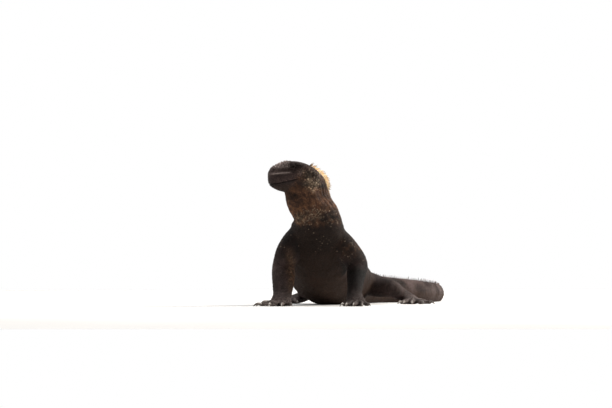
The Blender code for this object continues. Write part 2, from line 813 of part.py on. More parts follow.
def ankle_way(side):
    """Direction across the cut at the ankle, where the shin and the foot lie side by side."""
    forward, outward = pelvis_frame(side)
    ahead, out, up = ANKLE_CUT
    return unit((*(forward * ahead + outward * out), up))


def part_one_limb(limb, stations, joints, names):
    """Part a limb at two joints into three pieces."""
    pieces = []
    rest = limb
    for (joint, chosen_way), name in zip(joints, names):
        point, way = station_place(stations, joint)
        if chosen_way is not None:
            way = chosen_way
        piece, rest = parted(rest, point, way, name, name + "_rest")
        pieces.append(piece)
    rest.name = names[2]
    return pieces + [rest]


def spine_cut_planes():
    rows = spine_rows()
    along = np.gradient(rows[:, :3], axis=0)
    planes = []
    for station, share in SPINE_CUTS:
        at = spine_row_number(station, share)
        low = int(at)
        mix = at - low
        point = rows[low, :3] * (1 - mix) + rows[low + 1, :3] * mix
        planes.append((point, unit(along[low])))
    return planes


def head_cut_plane():
    """The plane between head and neck, whose normal points to the neck."""
    (low_x, low_z), (high_x, high_z) = THROAT_POINT, CROWN_END_POINT
    _, left, _, _ = head_frame()
    middle_y = SPINE["nape"][0][1]
    line = np.array([high_x - low_x, 0.0, high_z - low_z])
    line[1] = HEAD_CUT_SLANT * line[0]
    normal = unit(np.cross(line, left))
    if normal[2] > 0:
        normal = -normal
    point = np.array([(low_x + high_x) / 2, middle_y, (low_z + high_z) / 2])
    return point, normal


def build_head(neck_and_skull):
    """Fuse the head's own form to the top of the neck, and part the two."""
    boolean(neck_and_skull, [loft("head_form", head_rings())], "UNION")
    point, normal = head_cut_plane()
    head, neck = parted(neck_and_skull, point, normal, "head", "neck")
    add_scutes(head)
    eyes = {}
    cutters = []
    lids = []
    for side, name in ((1, "eye_left"), (-1, "eye_right")):
        distance, out, up = EYE_PLACE
        centre = head_point(distance, out * side, up)
        ahead, left, upward, _ = head_frame()
        facing = ahead * EYE_FACING[0] + left * side * EYE_FACING[1] + upward * EYE_FACING[2]
        rim = centre + unit(facing) * LID_FORWARD
        lids.append(ring_lid(name + "_lid", rim, facing))
        cutters.append(ellipsoid("socket", centre, [EYE_RADIUS + SEAM] * 3, facing, 14, 9))
        eyes[name] = ellipsoid(name, centre, [EYE_RADIUS] * 3, facing, 14, 9)
        for place, radii in ((NOSTRIL_PLACE, NOSTRIL_RADII), (EAR_PLACE, EAR_RADII)):
            hollow = head_point(place[0], place[1] * side, place[2])
            cutters.append(ellipsoid("hollow", hollow, radii, left * side, 10, 6))
    boolean(head, lids, "UNION")
    boolean(head, cutters, "DIFFERENCE")
    return largest_part(head), neck, eyes


def ground_cutter():
    bpy.ops.mesh.primitive_cube_add(size=2, location=(0, 0, -1))
    return bpy.context.object


def finish_materials(nodes):
    """Give every piece its own material."""
    for name, item in nodes.items():
        material = bpy.data.materials.new(name + "_skin")
        material.use_nodes = True
        shader = material.node_tree.nodes["Principled BSDF"]
        colour = SKIN_COLOUR
        if name in ("head", "neck"):
            colour = NECK_COLOUR
        if name.startswith("eye"):
            colour = EYE_COLOUR
        shader.inputs["Base Color"].default_value = colour
        shader.inputs["Roughness"].default_value = 0.12 if name.startswith("eye") else 0.7
        shader.inputs["Metallic"].default_value = 0.0
        item.data.materials.clear()
        item.data.materials.append(material)


def centre_on_ground(nodes):
    """Move everything so that the origin is at the middle of the footprint, on the ground."""
    points = np.array([v.co[:] for item in nodes.values() for v in item.data.vertices])
    low, high = points.min(0), points.max(0)
    shift = Vector((-(low[0] + high[0]) / 2, -(low[1] + high[1]) / 2, 0))
    for item in nodes.values():
        item.data.transform(Matrix.Translation(shift))


def main():
    clear_scene()
    body = flesh()
    limbs, trunk = part_limbs(body)
    planes = spine_cut_planes()
    nodes = {}
    rest = trunk
    for name, (point, way) in zip(TRUNK_NODES, planes):
        piece, rest = parted(rest, point, way, name, name + "_rest")
        nodes[name] = piece
    rest.name = TRUNK_NODES[-1]
    nodes[TRUNK_NODES[-1]] = rest

    for side, word, tuck in ((1, "left", 0), (-1, "right", RIGHT_LEG_TUCK)):
        arm = ARM_LEFT if side > 0 else ARM_RIGHT
        leg = leg_stations(side, tuck)
        arm_names = [f"upper_arm_{word}", f"forearm_{word}", f"hand_{word}"]
        leg_names = [f"thigh_{word}", f"shin_{word}", f"foot_{word}"]
        arm_joints = (("elbow", None), ("wrist", None))
        leg_joints = (("knee", None), ("ankle", ankle_way(side)))
        arm_parts = part_one_limb(limbs["arm_" + word], arm, arm_joints, arm_names)
        leg_parts = part_one_limb(limbs["leg_" + word], leg, leg_joints, leg_names)
        nodes.update(zip(arm_names + leg_names, arm_parts + leg_parts))
        for paw, stations, digits in (("hand", arm, HAND_DIGITS), ("foot", leg, FOOT_DIGITS)):
            name = f"{paw}_{word}"
            add_digits(nodes[name], stations, digits, side, PAW_TURNS[name], PAW_SPREADS[name])

    head, neck, eyes = build_head(nodes["neck"])
    nodes["head"], nodes["neck"] = head, neck
    crest_nodes = {name: nodes[name] for name in ("head",) + TRUNK_NODES}
    add_crest(crest_nodes, planes + [head_cut_plane()])
    nodes.update(eyes)

    for name, item in nodes.items():
        if min(v.co.z for v in item.data.vertices) < 0:
            boolean(item, [ground_cutter()], "DIFFERENCE")
        largest_part(item)
    centre_on_ground(nodes)
    finish_materials(nodes)
    group = bpy.data.collections.new("marine_iguana")
    bpy.context.scene.collection.children.link(group)
    for name, item in nodes.items():
        item.name = name
        item.data.shade_smooth()
        item.data.set_sharp_from_angle(angle=SHARP_ANGLE)
        for holder in list(item.users_collection):
            holder.objects.unlink(item)
        group.objects.link(item)


main()
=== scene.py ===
"""Looks of a marine iguana that sits up on straight forelegs with its head turned to its right.

Sizes are written in millimetres, in the frame that the animal was modelled in: it faces -Y, its own
left is +X and the ground is z = 0. One skin is blended from lofted sections, folded and wrinkled, and
covered with scales, scutes and a crest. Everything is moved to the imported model's frame at the end.
"""

import math

import bmesh
import bpy
import numpy as np
from mathutils import Matrix, Vector
from mathutils.bvhtree import BVHTree
from mathutils.kdtree import KDTree

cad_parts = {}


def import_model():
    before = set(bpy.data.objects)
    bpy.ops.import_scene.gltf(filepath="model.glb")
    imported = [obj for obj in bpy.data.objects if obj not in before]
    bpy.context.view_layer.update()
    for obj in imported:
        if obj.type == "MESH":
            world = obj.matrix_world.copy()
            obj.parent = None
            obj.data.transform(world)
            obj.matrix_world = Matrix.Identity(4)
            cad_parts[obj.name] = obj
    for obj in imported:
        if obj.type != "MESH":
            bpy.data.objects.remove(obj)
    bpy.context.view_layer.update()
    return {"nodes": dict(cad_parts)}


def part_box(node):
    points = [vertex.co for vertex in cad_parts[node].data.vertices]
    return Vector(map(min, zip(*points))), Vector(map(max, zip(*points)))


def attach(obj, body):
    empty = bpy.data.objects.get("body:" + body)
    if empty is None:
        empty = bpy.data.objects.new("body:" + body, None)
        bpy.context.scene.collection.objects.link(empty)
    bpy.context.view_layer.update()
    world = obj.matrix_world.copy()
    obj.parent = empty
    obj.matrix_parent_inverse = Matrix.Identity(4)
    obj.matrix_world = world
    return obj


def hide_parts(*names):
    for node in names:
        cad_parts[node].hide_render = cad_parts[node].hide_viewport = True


MM = 0.001

# Skin: voxels of the blended flesh and of the whole skin, smoothing, and its depth under the scales
FLESH_VOXEL = 1.25
SKIN_VOXEL = 1.0
FLESH_SMOOTHING = 22
SKIN_SMOOTHING = 3
SKIN_DEPTH = 0.55
SPANS = 6
BODY_SIDES = 64
LIMB_SIDES = 32
HEAD_SIDES = 80
DIGIT_SIDES = 18

# Spine from inside the skull to the tail tip: centre, dorsal direction, half width, height above
# and below the centre, and how far the top narrows to a ridge
SPINE = {
    "skull": ((-19, 11, 173), (0.55, 0.20, 0.81), 15, 16, 12, 0.05),
    "nape": ((-16, 12, 161), (0.92, 0.30, 0.15), 22, 27, 28.5, 0.16),
    "neck": ((-13.5, 14, 139), (0.90, 0.45, 0.05), 24, 29.5, 29.5, 0.14),
    "neck_base": ((-2, 21, 116), (0.50, 0.80, 0.30), 33, 29, 31, 0.08),
    "shoulders": ((0, 36, 90), (0.08, 0.72, 0.70), 38, 31, 31, 0.05),
    "ribs": ((5.5, 82, 61), (0.02, 0.42, 0.90), 46, 32, 40, 0.05),
    "belly": ((14.5, 138, 42), (0.00, 0.12, 0.99), 52, 32, 43, 0.06),
    "loin": ((37, 192, 35), (0.00, 0.05, 1.00), 39, 28, 36, 0.08),
    "pelvis": ((47, 236, 29), (0.00, 0.00, 1.00), 30, 25, 30, 0.10),
    "tail_root": ((64, 280, 21.5), (0.00, 0.00, 1.00), 19, 20, 22, 0.18),
    "tail_a": ((94, 328, 18.0), (0.00, 0.00, 1.00), 13.5, 18, 18.5, 0.25),
    "tail_b": ((134, 372, 15.5), (0.00, 0.00, 1.00), 10.5, 16, 16, 0.28),
    "tail_c": ((164, 424, 13.0), (0.00, 0.00, 1.00), 8.5, 14, 13.5, 0.30),
    "tail_d": ((174, 482, 10.8), (0.00, 0.00, 1.00), 6.8, 11.5, 11.2, 0.30),
    "tail_e": ((165, 540, 8.4), (0.00, 0.00, 1.00), 5.2, 9, 8.8, 0.30),
    "tail_f": ((150, 596, 6.0), (0.00, 0.00, 1.00), 3.8, 6.3, 6.4, 0.25),
    "tail_tip": ((146, 646, 3.2), (0.00, 0.00, 1.00), 2.2, 3.2, 3.6, 0.15),
}

# Limbs: station, place, half width and half depth
ARM_LEFT = (
    ("root", 13, 42, 88, 18, 19),
    ("shoulder", 27, 33, 83, 16.5, 18.5),
    ("upper", 41, 33, 69, 15.5, 17.5),
    ("elbow", 51.5, 35, 54, 14, 14.5),
    ("forearm", 50, 25, 40, 12.5, 13.5),
    ("shank", 48.5, 13, 26, 10.5, 11),
    ("wrist", 47.5, 3, 14, 10.5, 9),
    ("palm", 48.5, -8, 6.8, 13, 7.8),
    ("knuckles", 50, -16, 4.3, 12.5, 5.2),
)
ARM_RIGHT = (
    ("root", -14, 42, 91, 18, 19),
    ("shoulder", -27, 33, 86, 17, 18.5),
    ("upper", -38.5, 33, 70, 16.5, 17.5),
    ("elbow", -45, 35, 51, 15, 14.5),
    ("forearm", -45, 25, 39, 15.5, 13.5),
    ("shank", -45.5, 12, 26, 14, 11),
    ("wrist", -46.5, 1, 14, 12.5, 9),
    ("palm", -48, -9, 6.8, 14, 7.8),
    ("knuckles", -50, -17, 4.3, 13, 5.2),
)
PELVIS_PLACE = (44, 228)
PELVIS_TURN = 13.5
LEG = (
    ("root", -4, 8, 29, 17, 17),
    ("hip", -1, 22, 28, 17, 16.5),
    ("thigh", 11, 43, 23.5, 14.5, 14.5),
    ("knee", 24, 62, 21.5, 12, 12),
    ("shin", 7, 67, 16.5, 10, 10),
    ("ankle", -11, 72, 11.5, 8.5, 8.5),
    ("heel", -6, 80, 8, 9, 7.5),
    ("sole", 8, 87, 5.4, 10.5, 6.4),
    ("toe_line", 21, 92, 4, 10.5, 5),
)
RIGHT_LEG_TUCK = 0.18
TUCK_FROM = 30

# Digits: share across the paw from the inner edge, turn away from the paw's line, length, radius
HAND_DIGITS = (
    (-0.80, -42, 15, 3.0), (-0.45, -18, 23, 3.2), (0.00, 2, 28, 3.3), (0.45, 23, 28, 3.2),
    (0.85, 54, 18, 3.0),
)
FOOT_DIGITS = (
    (-0.80, -34, 15, 3.0), (-0.45, -15, 24, 3.2), (0.00, 2, 34, 3.4), (0.40, 20, 42, 3.4),
    (0.80, 52, 27, 3.1),
)
PAW_TURNS = {"hand_left": -17, "hand_right": 11, "foot_left": -16, "foot_right": -12}
PAW_SPREADS = {"hand_left": 0.55, "hand_right": 0.95, "foot_left": 0.85, "foot_right": 1.0}
PAW_FRONT_SHARE = 0.86
PAW_FRONT_CURVE = 7
DIGIT_ROOT = 2.2
# Along a digit: share of its length, and its height and thickness as multiples of its radius
DIGIT_ROWS = (
    (0.00, 0.75, 1.05), (0.20, 1.30, 1.02), (0.36, 1.45, 1.10), (0.52, 1.22, 0.98),
    (0.68, 0.95, 1.04), (0.84, 0.74, 0.90), (1.00, 0.62, 0.74),
)
DIGIT_FLATNESS = 0.92
CLAW_LENGTH = 9.5
CLAW_SIDES = 14
CLAW_ARCH = 1.5
CLAW_ARCH_START = 0.15
CLAW_DROP = 1.9
# A claw's half width and its reach below the centre as shares of its thickness, and its ridge
CLAW_SECTION = (0.62, 0.8, 0.12)
# Along a claw: share of its length, and thickness as a multiple of the digit's radius
CLAW_ROWS = (
    (-0.25, 0.66), (0.00, 0.66), (0.20, 0.60), (0.40, 0.52), (0.60, 0.41), (0.80, 0.26),
    (0.92, 0.15), (1.00, 0.05),
)

# Head, in its own frame: distance behind the snout tip, half width, top, bottom
SNOUT_TIP = (-65, 2, 168)
HEAD_YAW = 12
HEAD_PITCH = -3
HEAD_PIVOT = 30
HEAD_LEVEL = 1.0
HEAD_SECTIONS = (
    (0.0, 4.8, 5.0, -6.5), (1.0, 7.2, 7.8, -9.2), (2.8, 9.3, 10.6, -11.3), (6.0, 11.3, 13.6, -13.8),
    (12.0, 14.0, 16.6, -17.0), (20.0, 17.0, 19.3, -19.6), (28.0, 18.8, 20.4, -21.0),
    (36.0, 20.3, 20.3, -22.0), (44.0, 22.0, 18.6, -22.5), (52.0, 22.5, 15.4, -22.0),
    (60.0, 20.5, 10.5, -20.0), (66.0, 15.0, 4.0, -14.0),
)
CROWN_BOXINESS = 2.7
JAW_BOXINESS = 2.2
MOUTH_FRONT = -8.3
MOUTH_CORNER = -2.4
MOUTH_CORNER_DISTANCE = 38
MOUTH_CURVE = 1.5

# Swellings and hollows of the head: distance, sideways, up, reach along and across, height
HEAD_RELIEF = (
    ("brow", 30, 14.5, 18.5, 9.0, 3.6, 1.8),
    ("eye_hollow", 31, 18.5, 11.5, 7.0, 5.0, -2.4),
    ("cheek", 45, 21.0, -9.0, 10.0, 8.0, 2.2),
    ("temple", 41, 18.0, 10.0, 6.0, 5.0, -1.2),
    ("nostril_swell", 7, 7.5, 10.5, 3.6, 3.4, 1.3),
    ("canthus", 16, 13.0, 5.0, 8.0, 2.4, -1.0),
    ("upper_lip", 16, 14.0, -3.0, 15.0, 3.0, 0.8),
)
EYE_PLACE = (31.0, 12.0, 11.8)
EYE_RADIUS = 5.0
EYE_FACING = (0.10, 1.0, 0.10)
EYE_OPENING = (3.2, 1.45)
EYE_SEGMENTS = (48, 32)
CORNEA_RISE = 0.045
CORNEA_REACH = 0.5
NOSTRIL_PLACE = (6.6, 8.6, 10.6)
EAR_PLACE = (54.0, 22.5, 1.0)
EAR_SIZE = (2.6, 3.6)
# Folds under and over each eye by their gap from it, and behind it by their distance and height
FOLDS_UNDER = (3.4, 5.2, 7.0)
FOLDS_OVER = (3.6, 5.2)
FOLDS_BEHIND = ((36.6, 4.0), (39.0, 5.0), (41.6, 6.0))

# Neck folds: the straight line that they run along, and their angle from the crest, width and height
NECK_TOP = (-17, 12, 168)
NECK_FOOT = (-6, 19, 118)
NECK_DORSAL = np.array((0.90, 0.42, 0.10))
NECK_FOLDS = (
    (0.62, 0.09, 0.6), (0.88, 0.08, 0.75), (1.14, 0.09, 0.6), (1.6, 0.14, 0.3), (2.2, 0.18, 0.3),
)
# Limb folds round two joints of each limb: station and reach
LIMB_FOLDS = {"arm": ((3.0, 0.5), (5.8, 0.55)), "leg": ((3.0, 0.4), (5.0, 0.6))}
LIMB_FOLD_PITCH = 0.31

# Camera, in the animal's own frame
CAMERA_PLACE = (-15.6, -5000, 70)
CAMERA_TARGET = (-15.6, 0, 132.6)
CAMERA_LENS = 226.2
# Scales and crest
SCATTER_SEED = 31
TINT_SEED = 32
SHAPE_SEED = 33
CANDIDATES = 5.5
CROWDING_LIMIT = 1.7
SMALL_SCALE = 1.15
LARGE_SCALE = SMALL_SCALE * 1.5
BETWEEN = 0.70
# Rings of a scale: share of its radius, share of its height, how much of its lean
BODY_SCALE = ((1.0, -0.6, 0.0), (0.74, 0.74, 0.4), (0.0, 1.0, 1.0))
HEAD_SCALE = ((1.0, -0.6, 0.0), (0.88, 0.42, 0.2), (0.56, 0.86, 0.6), (0.0, 1.0, 1.0))
PATCH = 0.003
SHARE_SOFTNESS = 0.05
# Rows of scales along the lips: how far above the mouth's line, and stretch across
LIP_ROWS = ((1.55, 0.82), (-1.5, 0.80))
# Rings of scales on the lids: size as a multiple of the eye's opening, count, and how far turned
LID_ROWS = ((1.34, 22, 0), (1.85, 24, 0.5))
TAIL_RINGS_FROM = 9.3
TAIL_PITCH = 2.7
TAIL_SPACING = 2.7
# Parts of the trunk with a mesh of scales each, with their first and last stations
TRUNK_PARTS = (
    ("neck", -9, 3.5), ("chest", 3.5, 5.2), ("belly", 5.2, 6.6), ("loin", 6.6, 8.0),
    ("rump", 8.0, 9.6), ("tail_front", 9.6, 12.0), ("tail_back", 12.0, 99),
)
# Beyond this station the scales of a limb belong to its hand or foot
PAW_STATION = 5.4
# Material slots of the scales by the first word of their part, where it isn't body_skin
SLOTS = {"head": "head", "neck": "neck", "tail": "tail", "hand": "paw", "foot": "paw"}
SLOTS |= {"arm": "limb", "leg": "limb"}
# Crest spines along the spine's stations: station number, length, pitch
CREST_ROWS = (
    (0.08, 6.5, 2.4), (0.30, 7.6, 1.7), (0.9, 7.4, 1.3), (1.2, 6.4, 1.4), (1.5, 4.4, 1.8),
    (1.9, 3.0, 2.2), (3.0, 3.8, 2.8), (4.0, 4.9, 3.6), (5.5, 5.2, 4.1), (8.0, 4.6, 4.1),
    (12.0, 4.8, 4.0), (15.3, 2.6, 3.6), (15.9, 1.6, 3.2),
)
# Lines of crest spines: how far to either side, share of the length, last station
CREST_LINES = (
    (0.0, 1.0, 99), (1.4, 0.86, 2.2), (3.0, 0.70, 2.0), (5.0, 0.52, 1.7), (7.2, 0.40, 1.4),
)
CREST_SEED = 41
CREST_SPANS = 40
CREST_SIDES = 8
CREST_BASE = 0.17
CREST_WIDTH = 0.13
# Along a spine: share of its length, and thickness
CREST_PROFILE = (
    (-0.25, 1.2), (0.0, 1.1), (0.25, 0.92), (0.5, 0.68), (0.75, 0.40), (0.92, 0.17), (1.0, 0.04),
)
# Values along the spine's stations: how full, leaning and golden the crest is, how high its fold
# of skin stands, and how far its gold reaches on to the skin beside it. This gold is partly the
# hide's pale tone and partly painted glow of the back light shining through the crest and nape
CREST_FULLNESS = ((0.12, 0.40), (0.55, 1))
CREST_LEAN = ((0.15, 0.5), (0.4, 1))
CREST_GOLD_GLOW = ((0.1, 0.35, 1.15, 1.65, 2.3), (0.1, 1, 1, 0.12, 0))
NAPE_FOLD = 1.4
NAPE_RISE = ((0.05, 0.3, 1.2, 1.9, 2.6), (0.2, 1, 0.9, 0.5, 0))
GOLD_GLOW_REACH = ((0, 0.35, 0.9, 1.2, 1.5, 1.75), (3, 12, 11, 8, 3.5, 0.3))
# Pale flecks on the throat and chest: height and reach, sideways and reach, share
THROAT_FLECKS = (
    (118, 8, -6, 16, 0.72), (111, 5, 18, 15, 0.20), (84, 6, 8, 9, 0.20), (88, 14, -4, 30, 0.025),
)

# Tones of the hide
UMBER_DARK = (0.0125, 0.0071, 0.0058, 1)
UMBER = (0.030, 0.0166, 0.0132, 1)
RUST = (0.084, 0.039, 0.0225, 1)
RUST_BRIGHT = (0.205, 0.096, 0.048, 1)
FLECK = (0.46, 0.35, 0.25, 1)
# Pale gold; on the crest and nape it is partly painted glow of the back light
GOLD_AND_GLOW = (0.90, 0.70, 0.465, 1)
GREY = (0.086, 0.0570, 0.0530, 1)
LIGHT = (0.340, 0.275, 0.255, 1)
OLIVE = (0.037, 0.0200, 0.0130, 1)
HORN_DARK = (0.040, 0.032, 0.027, 1)
HORN_PALE = (0.200, 0.165, 0.140, 1)
PUPIL = (0.003, 0.003, 0.003, 1)
IRIS = (0.018, 0.0095, 0.0055, 1)
IRIS_EDGE = (0.012, 0.007, 0.005, 1)
EYE_RIM = (0.010, 0.007, 0.006, 1)
# Rings of the eye: share of the distance at which its rim starts, in metres, and tone
EYE_RINGS = ((0.30, PUPIL), (0.36, IRIS), (0.66, IRIS_EDGE))
EYE_REACH = 0.0042
FLOOR_LOW = (0.66, 0.655, 0.645, 1)
FLOOR_HIGH = (0.72, 0.715, 0.71, 1)

# Lights: name, place, target, size, power and colour
LIGHTS = (
    ("key", (-1.4, -2.4, 2.2), (0, 0, 0.1), 2.4, 9, (1.0, 0.96, 0.92)),
    ("rim", (2.3, 0.8, 1.7), (0, 0, 0.13), 1.2, 140, (1.0, 0.95, 0.88)),
    ("top", (-0.4, 1.3, 2.8), (0, 0.1, 0.1), 2.0, 48, (1.0, 0.99, 0.98)),
)
# The studio's wall is white behind the animal and greyer in front of it
WALL_BEHIND = (1.0, 1.0, 1.0, 1)
WALL_FRONT = (0.25, 0.237, 0.225, 1)
# Where the front wall ends and the white one begins, along the world's Y
WALL_TURN = (-0.5, 0.35)
FLOOR_SIZE = 3.6
# No point of a piece, and none of the folded skin, lies lower than this
LOWEST = 0.02
SKIN_LOWEST = 0.05
# Rays to the skin start this far out: from the head's middle, the crest's line, toes and tail
HEAD_RAY, CREST_RAY, DIGIT_RAY, TAIL_RAY = 45, 40, 12, 45
# As many points are compared with the sections at a time
BLOCK = 20000


def unit(vector):
    vector = np.asarray(vector, float)
    return vector / np.linalg.norm(vector)


def units(vectors):
    return vectors / np.maximum(np.linalg.norm(vectors, axis=-1, keepdims=True), 1e-9)


def rise(low, high, value):
    """A smooth step from 0 at low to 1 at high."""
    share = np.clip((value - low) / (high - low), 0, 1)
    return share * share * (3 - 2 * share)


def bell(value, width):
    return np.exp(-((value / width) ** 2))


WANDER_ORDER = np.random.default_rng(5).permutation(1024)
WANDER_LEVEL = np.random.default_rng(6).uniform(-1.25, 1.25, 1024)


def wander(points, size, seed):
    """Smooth random values between -1 and 1, with bumps about as far apart as the size."""
    place = points / size + seed * 17.37
    cell = np.floor(place).astype(np.int64)
    part = place - cell
    part = part * part * (3 - 2 * part)
    total = np.zeros(len(points))
    for corner in range(8):
        step = np.array([corner & 1, corner >> 1 & 1, corner >> 2 & 1])
        there = cell + step
        row = WANDER_ORDER[there[:, 0] + seed * 31 & 1023]
        row = WANDER_ORDER[row + there[:, 1] & 1023]
        row = WANDER_ORDER[row + there[:, 2] & 1023]
        weight = np.prod(np.where(step == 1, part, 1 - part), axis=1)
        total += WANDER_LEVEL[row] * weight
    return total


def smooth_rows(rows, spans):
    """Points of a Catmull-Rom curve through the rows, which may hold any number of columns."""
    rows = np.array(rows, float)
    ends = np.vstack([2 * rows[0] - rows[1], rows, 2 * rows[-1] - rows[-2]])
    made = []
    for i in range(1, len(ends) - 2):
        before, here, there, after = ends[i - 1 : i + 3]
        for t in np.linspace(0, 1, spans, endpoint=False):
            linear = (there - before) * t
            square = (2 * before - 5 * here + 4 * there - after) * t**2
            cube = (3 * here - before - 3 * there + after) * t**3
            made.append(0.5 * (2 * here + linear + square + cube))
    made.append(ends[-2])
    return np.array(made)


def frames(centres, dorsal):
    """Directions along, up and sideways at each point of a path."""
    along = units(np.gradient(centres, axis=0))
    up = units(dorsal - (dorsal * along).sum(1)[:, None] * along)
    return along, up, np.cross(along, up)


def section_rings(rows, sides):
    """Rings of points for rows of centre, dorsal direction, half width, above, below and peak."""
    centres, dorsal = rows[:, :3], rows[:, 3:6]
    half, above, below, peak = rows[:, 6:10].T
    _, up, side = frames(centres, dorsal)
    angles = np.linspace(0, 2 * math.pi, sides, endpoint=False)
    rings = []
    for i, centre in enumerate(centres):
        reach_up = np.where(np.sin(angles) > 0, above[i], below[i]) * np.sin(angles)
        narrowing = 1 - peak[i] * np.abs(np.sin(angles))
        reach_out = half[i] * np.cos(angles) * narrowing
        rings.append(centre + reach_out[:, None] * side[i] + reach_up[:, None] * up[i])
    return rings


def linked(name, data):
    """A new object in the scene for a mesh, light or camera."""
    made = bpy.data.objects.new(name, data)
    bpy.context.scene.collection.objects.link(made)
    return made


def mesh_object(name, points, faces):
    """A mesh object from points in millimetres and a list of faces."""
    mesh = bpy.data.meshes.new(name)
    mesh.from_pydata((np.asarray(points, float) * MM).tolist(), [], [tuple(map(int, f)) for f in faces])
    return linked(name, mesh)


def outward(item):
    """Point the faces of a closed mesh outwards."""
    form = bmesh.new()
    form.from_mesh(item.data)
    bmesh.ops.recalc_face_normals(form, faces=form.faces)
    form.to_mesh(item.data)
    form.free()
    return item


def loft(name, rings):
    """A closed mesh through rings of equally many points, with a fan over each end."""
    sides = len(rings[0])
    points = [p for ring in rings for p in ring]
    faces = []
    for i in range(len(rings) - 1):
        for k in range(sides):
            after = (k + 1) % sides
            first, second = i * sides, (i + 1) * sides
            faces.append((first + k, second + k, second + after, first + after))
    for ring, start in ((rings[0], 0), (rings[-1], (len(rings) - 1) * sides)):
        points.append(np.mean(ring, axis=0))
        middle = len(points) - 1
        faces += [(middle, start + k, start + (k + 1) % sides) for k in range(sides)]
    return outward(mesh_object(name, points, faces))


def triangle_mesh(name, points, triangles):
    """A mesh object from many points in millimetres and an array of triangles."""
    mesh = bpy.data.meshes.new(name)
    mesh.vertices.add(len(points))
    mesh.vertices.foreach_set("co", (points * MM).astype(np.float32).ravel())
    mesh.loops.add(len(triangles) * 3)
    mesh.loops.foreach_set("vertex_index", triangles.astype(np.int32).ravel())
    mesh.polygons.add(len(triangles))
    mesh.polygons.foreach_set("loop_start", np.arange(0, len(triangles) * 3, 3, dtype=np.int32))
    mesh.update(calc_edges=True)
    return linked(name, mesh)


def settled(item):
    """Replace an object's mesh by what its modifiers make of it."""
    bpy.context.view_layer.update()
    graph = bpy.context.evaluated_depsgraph_get()
    mesh = bpy.data.meshes.new_from_object(item.evaluated_get(graph))
    item.modifiers.clear()
    item.data = mesh
    return item


def joined(parts):
    bpy.ops.object.select_all(action="DESELECT")
    for part in parts:
        part.select_set(True)
    bpy.context.view_layer.objects.active = parts[0]
    bpy.ops.object.join()
    return bpy.context.object


def blended(parts, voxel, smoothing):
    """Join closed forms into one surface."""
    body = joined(parts)
    remesh = body.modifiers.new("blend", "REMESH")
    remesh.mode = "VOXEL"
    remesh.voxel_size = voxel * MM
    soften = body.modifiers.new("soften", "SMOOTH")
    soften.factor = 0.5
    soften.iterations = smoothing
    return settled(body)


def spine_rows():
    return smooth_rows([(*c, *d, w, a, b, p) for c, d, w, a, b, p in SPINE.values()], SPANS)


def crest_line():
    """The spine's centres and dorsal directions in fine steps, and their station numbers."""
    rows = smooth_rows([(*c, *d) for c, d, *_ in SPINE.values()], CREST_SPANS)
    return rows, np.arange(len(rows)) / CREST_SPANS


def run_along(rows):
    """How far along its path each row's centre lies."""
    steps = np.linalg.norm(np.diff(rows[:, :3], axis=0), axis=1)
    return np.concatenate([[0], np.cumsum(steps)])


def between_rows(at, run, rows):
    """The first three columns of the rows at a place between them."""
    return np.array([np.interp(at, run, column) for column in rows.T[:3]])


def limb_rows(stations):
    """Rows for a limb whose sections are ellipses, with their depth turned to face forwards."""
    rows = smooth_rows([(*s[1:4], 0, 0, 1, s[4], s[5], s[5], 0) for s in stations], SPANS)
    along = units(np.gradient(rows[:, :3], axis=0))
    rows[:, 3] = 0
    rows[:, 4] = -np.abs(along[:, 2])
    rows[:, 5] = np.hypot(along[:, 0], along[:, 1])
    return rows


def leg_stations(side, tuck):
    """Hind leg in the animal's frame, from its places in the pelvis's own frame."""
    turn = math.radians(PELVIS_TURN)
    forward = np.array([-math.sin(turn), -math.cos(turn)])
    outward_way = np.array([math.cos(turn), -math.sin(turn)]) * side
    made = []
    for name, ahead, out, up, half, depth in LEG:
        out -= tuck * max(out - TUCK_FROM, 0)
        place = np.array(PELVIS_PLACE) + forward * ahead + outward_way * out
        made.append((name, place[0], place[1], up, half, depth))
    return tuple(made)


def limbs():
    return {
        "arm_left": ARM_LEFT,
        "arm_right": ARM_RIGHT,
        "leg_left": leg_stations(1, 0),
        "leg_right": leg_stations(-1, RIGHT_LEG_TUCK),
    }


def head_frame():
    """Directions of the head: towards the snout, to its left, and up; and the place of its level."""
    yaw, pitch = math.radians(HEAD_YAW), math.radians(HEAD_PITCH)
    flat = np.array([-math.cos(yaw), -math.sin(yaw), 0.0])
    upright = np.array([0.0, 0.0, 1.0])
    ahead = flat * math.cos(pitch) + upright * math.sin(pitch)
    left = np.cross(upright, flat)
    pivot = np.array(SNOUT_TIP, float) - flat * HEAD_PIVOT
    return ahead, left, np.cross(ahead, left), pivot


def head_point(distance, sideways, up_by):
    ahead, left, up, pivot = head_frame()
    return pivot + ahead * (HEAD_PIVOT - distance) + left * sideways + up * up_by


def head_places(points):
    """Distance behind the snout, sideways and up for points in the animal's frame."""
    ahead, left, up, pivot = head_frame()
    offset = points - pivot
    return HEAD_PIVOT - offset @ ahead, offset @ left, offset @ up


def mouth_level(distance):
    share = np.clip(distance / MOUTH_CORNER_DISTANCE, 0, 1)
    return MOUTH_FRONT + (MOUTH_CORNER - MOUTH_FRONT) * share**MOUTH_CURVE


def relief(distance, sideways, up_by):
    """How far the swellings and hollows move the head's surface at a point of it."""
    total = 0.0
    for _, at, out, level, along, across, height in HEAD_RELIEF:
        square = ((distance - at) / along) ** 2
        square = square + ((np.abs(sideways) - out) ** 2 + (up_by - level) ** 2) / across**2
        total = total + height * np.exp(-square)
    return total


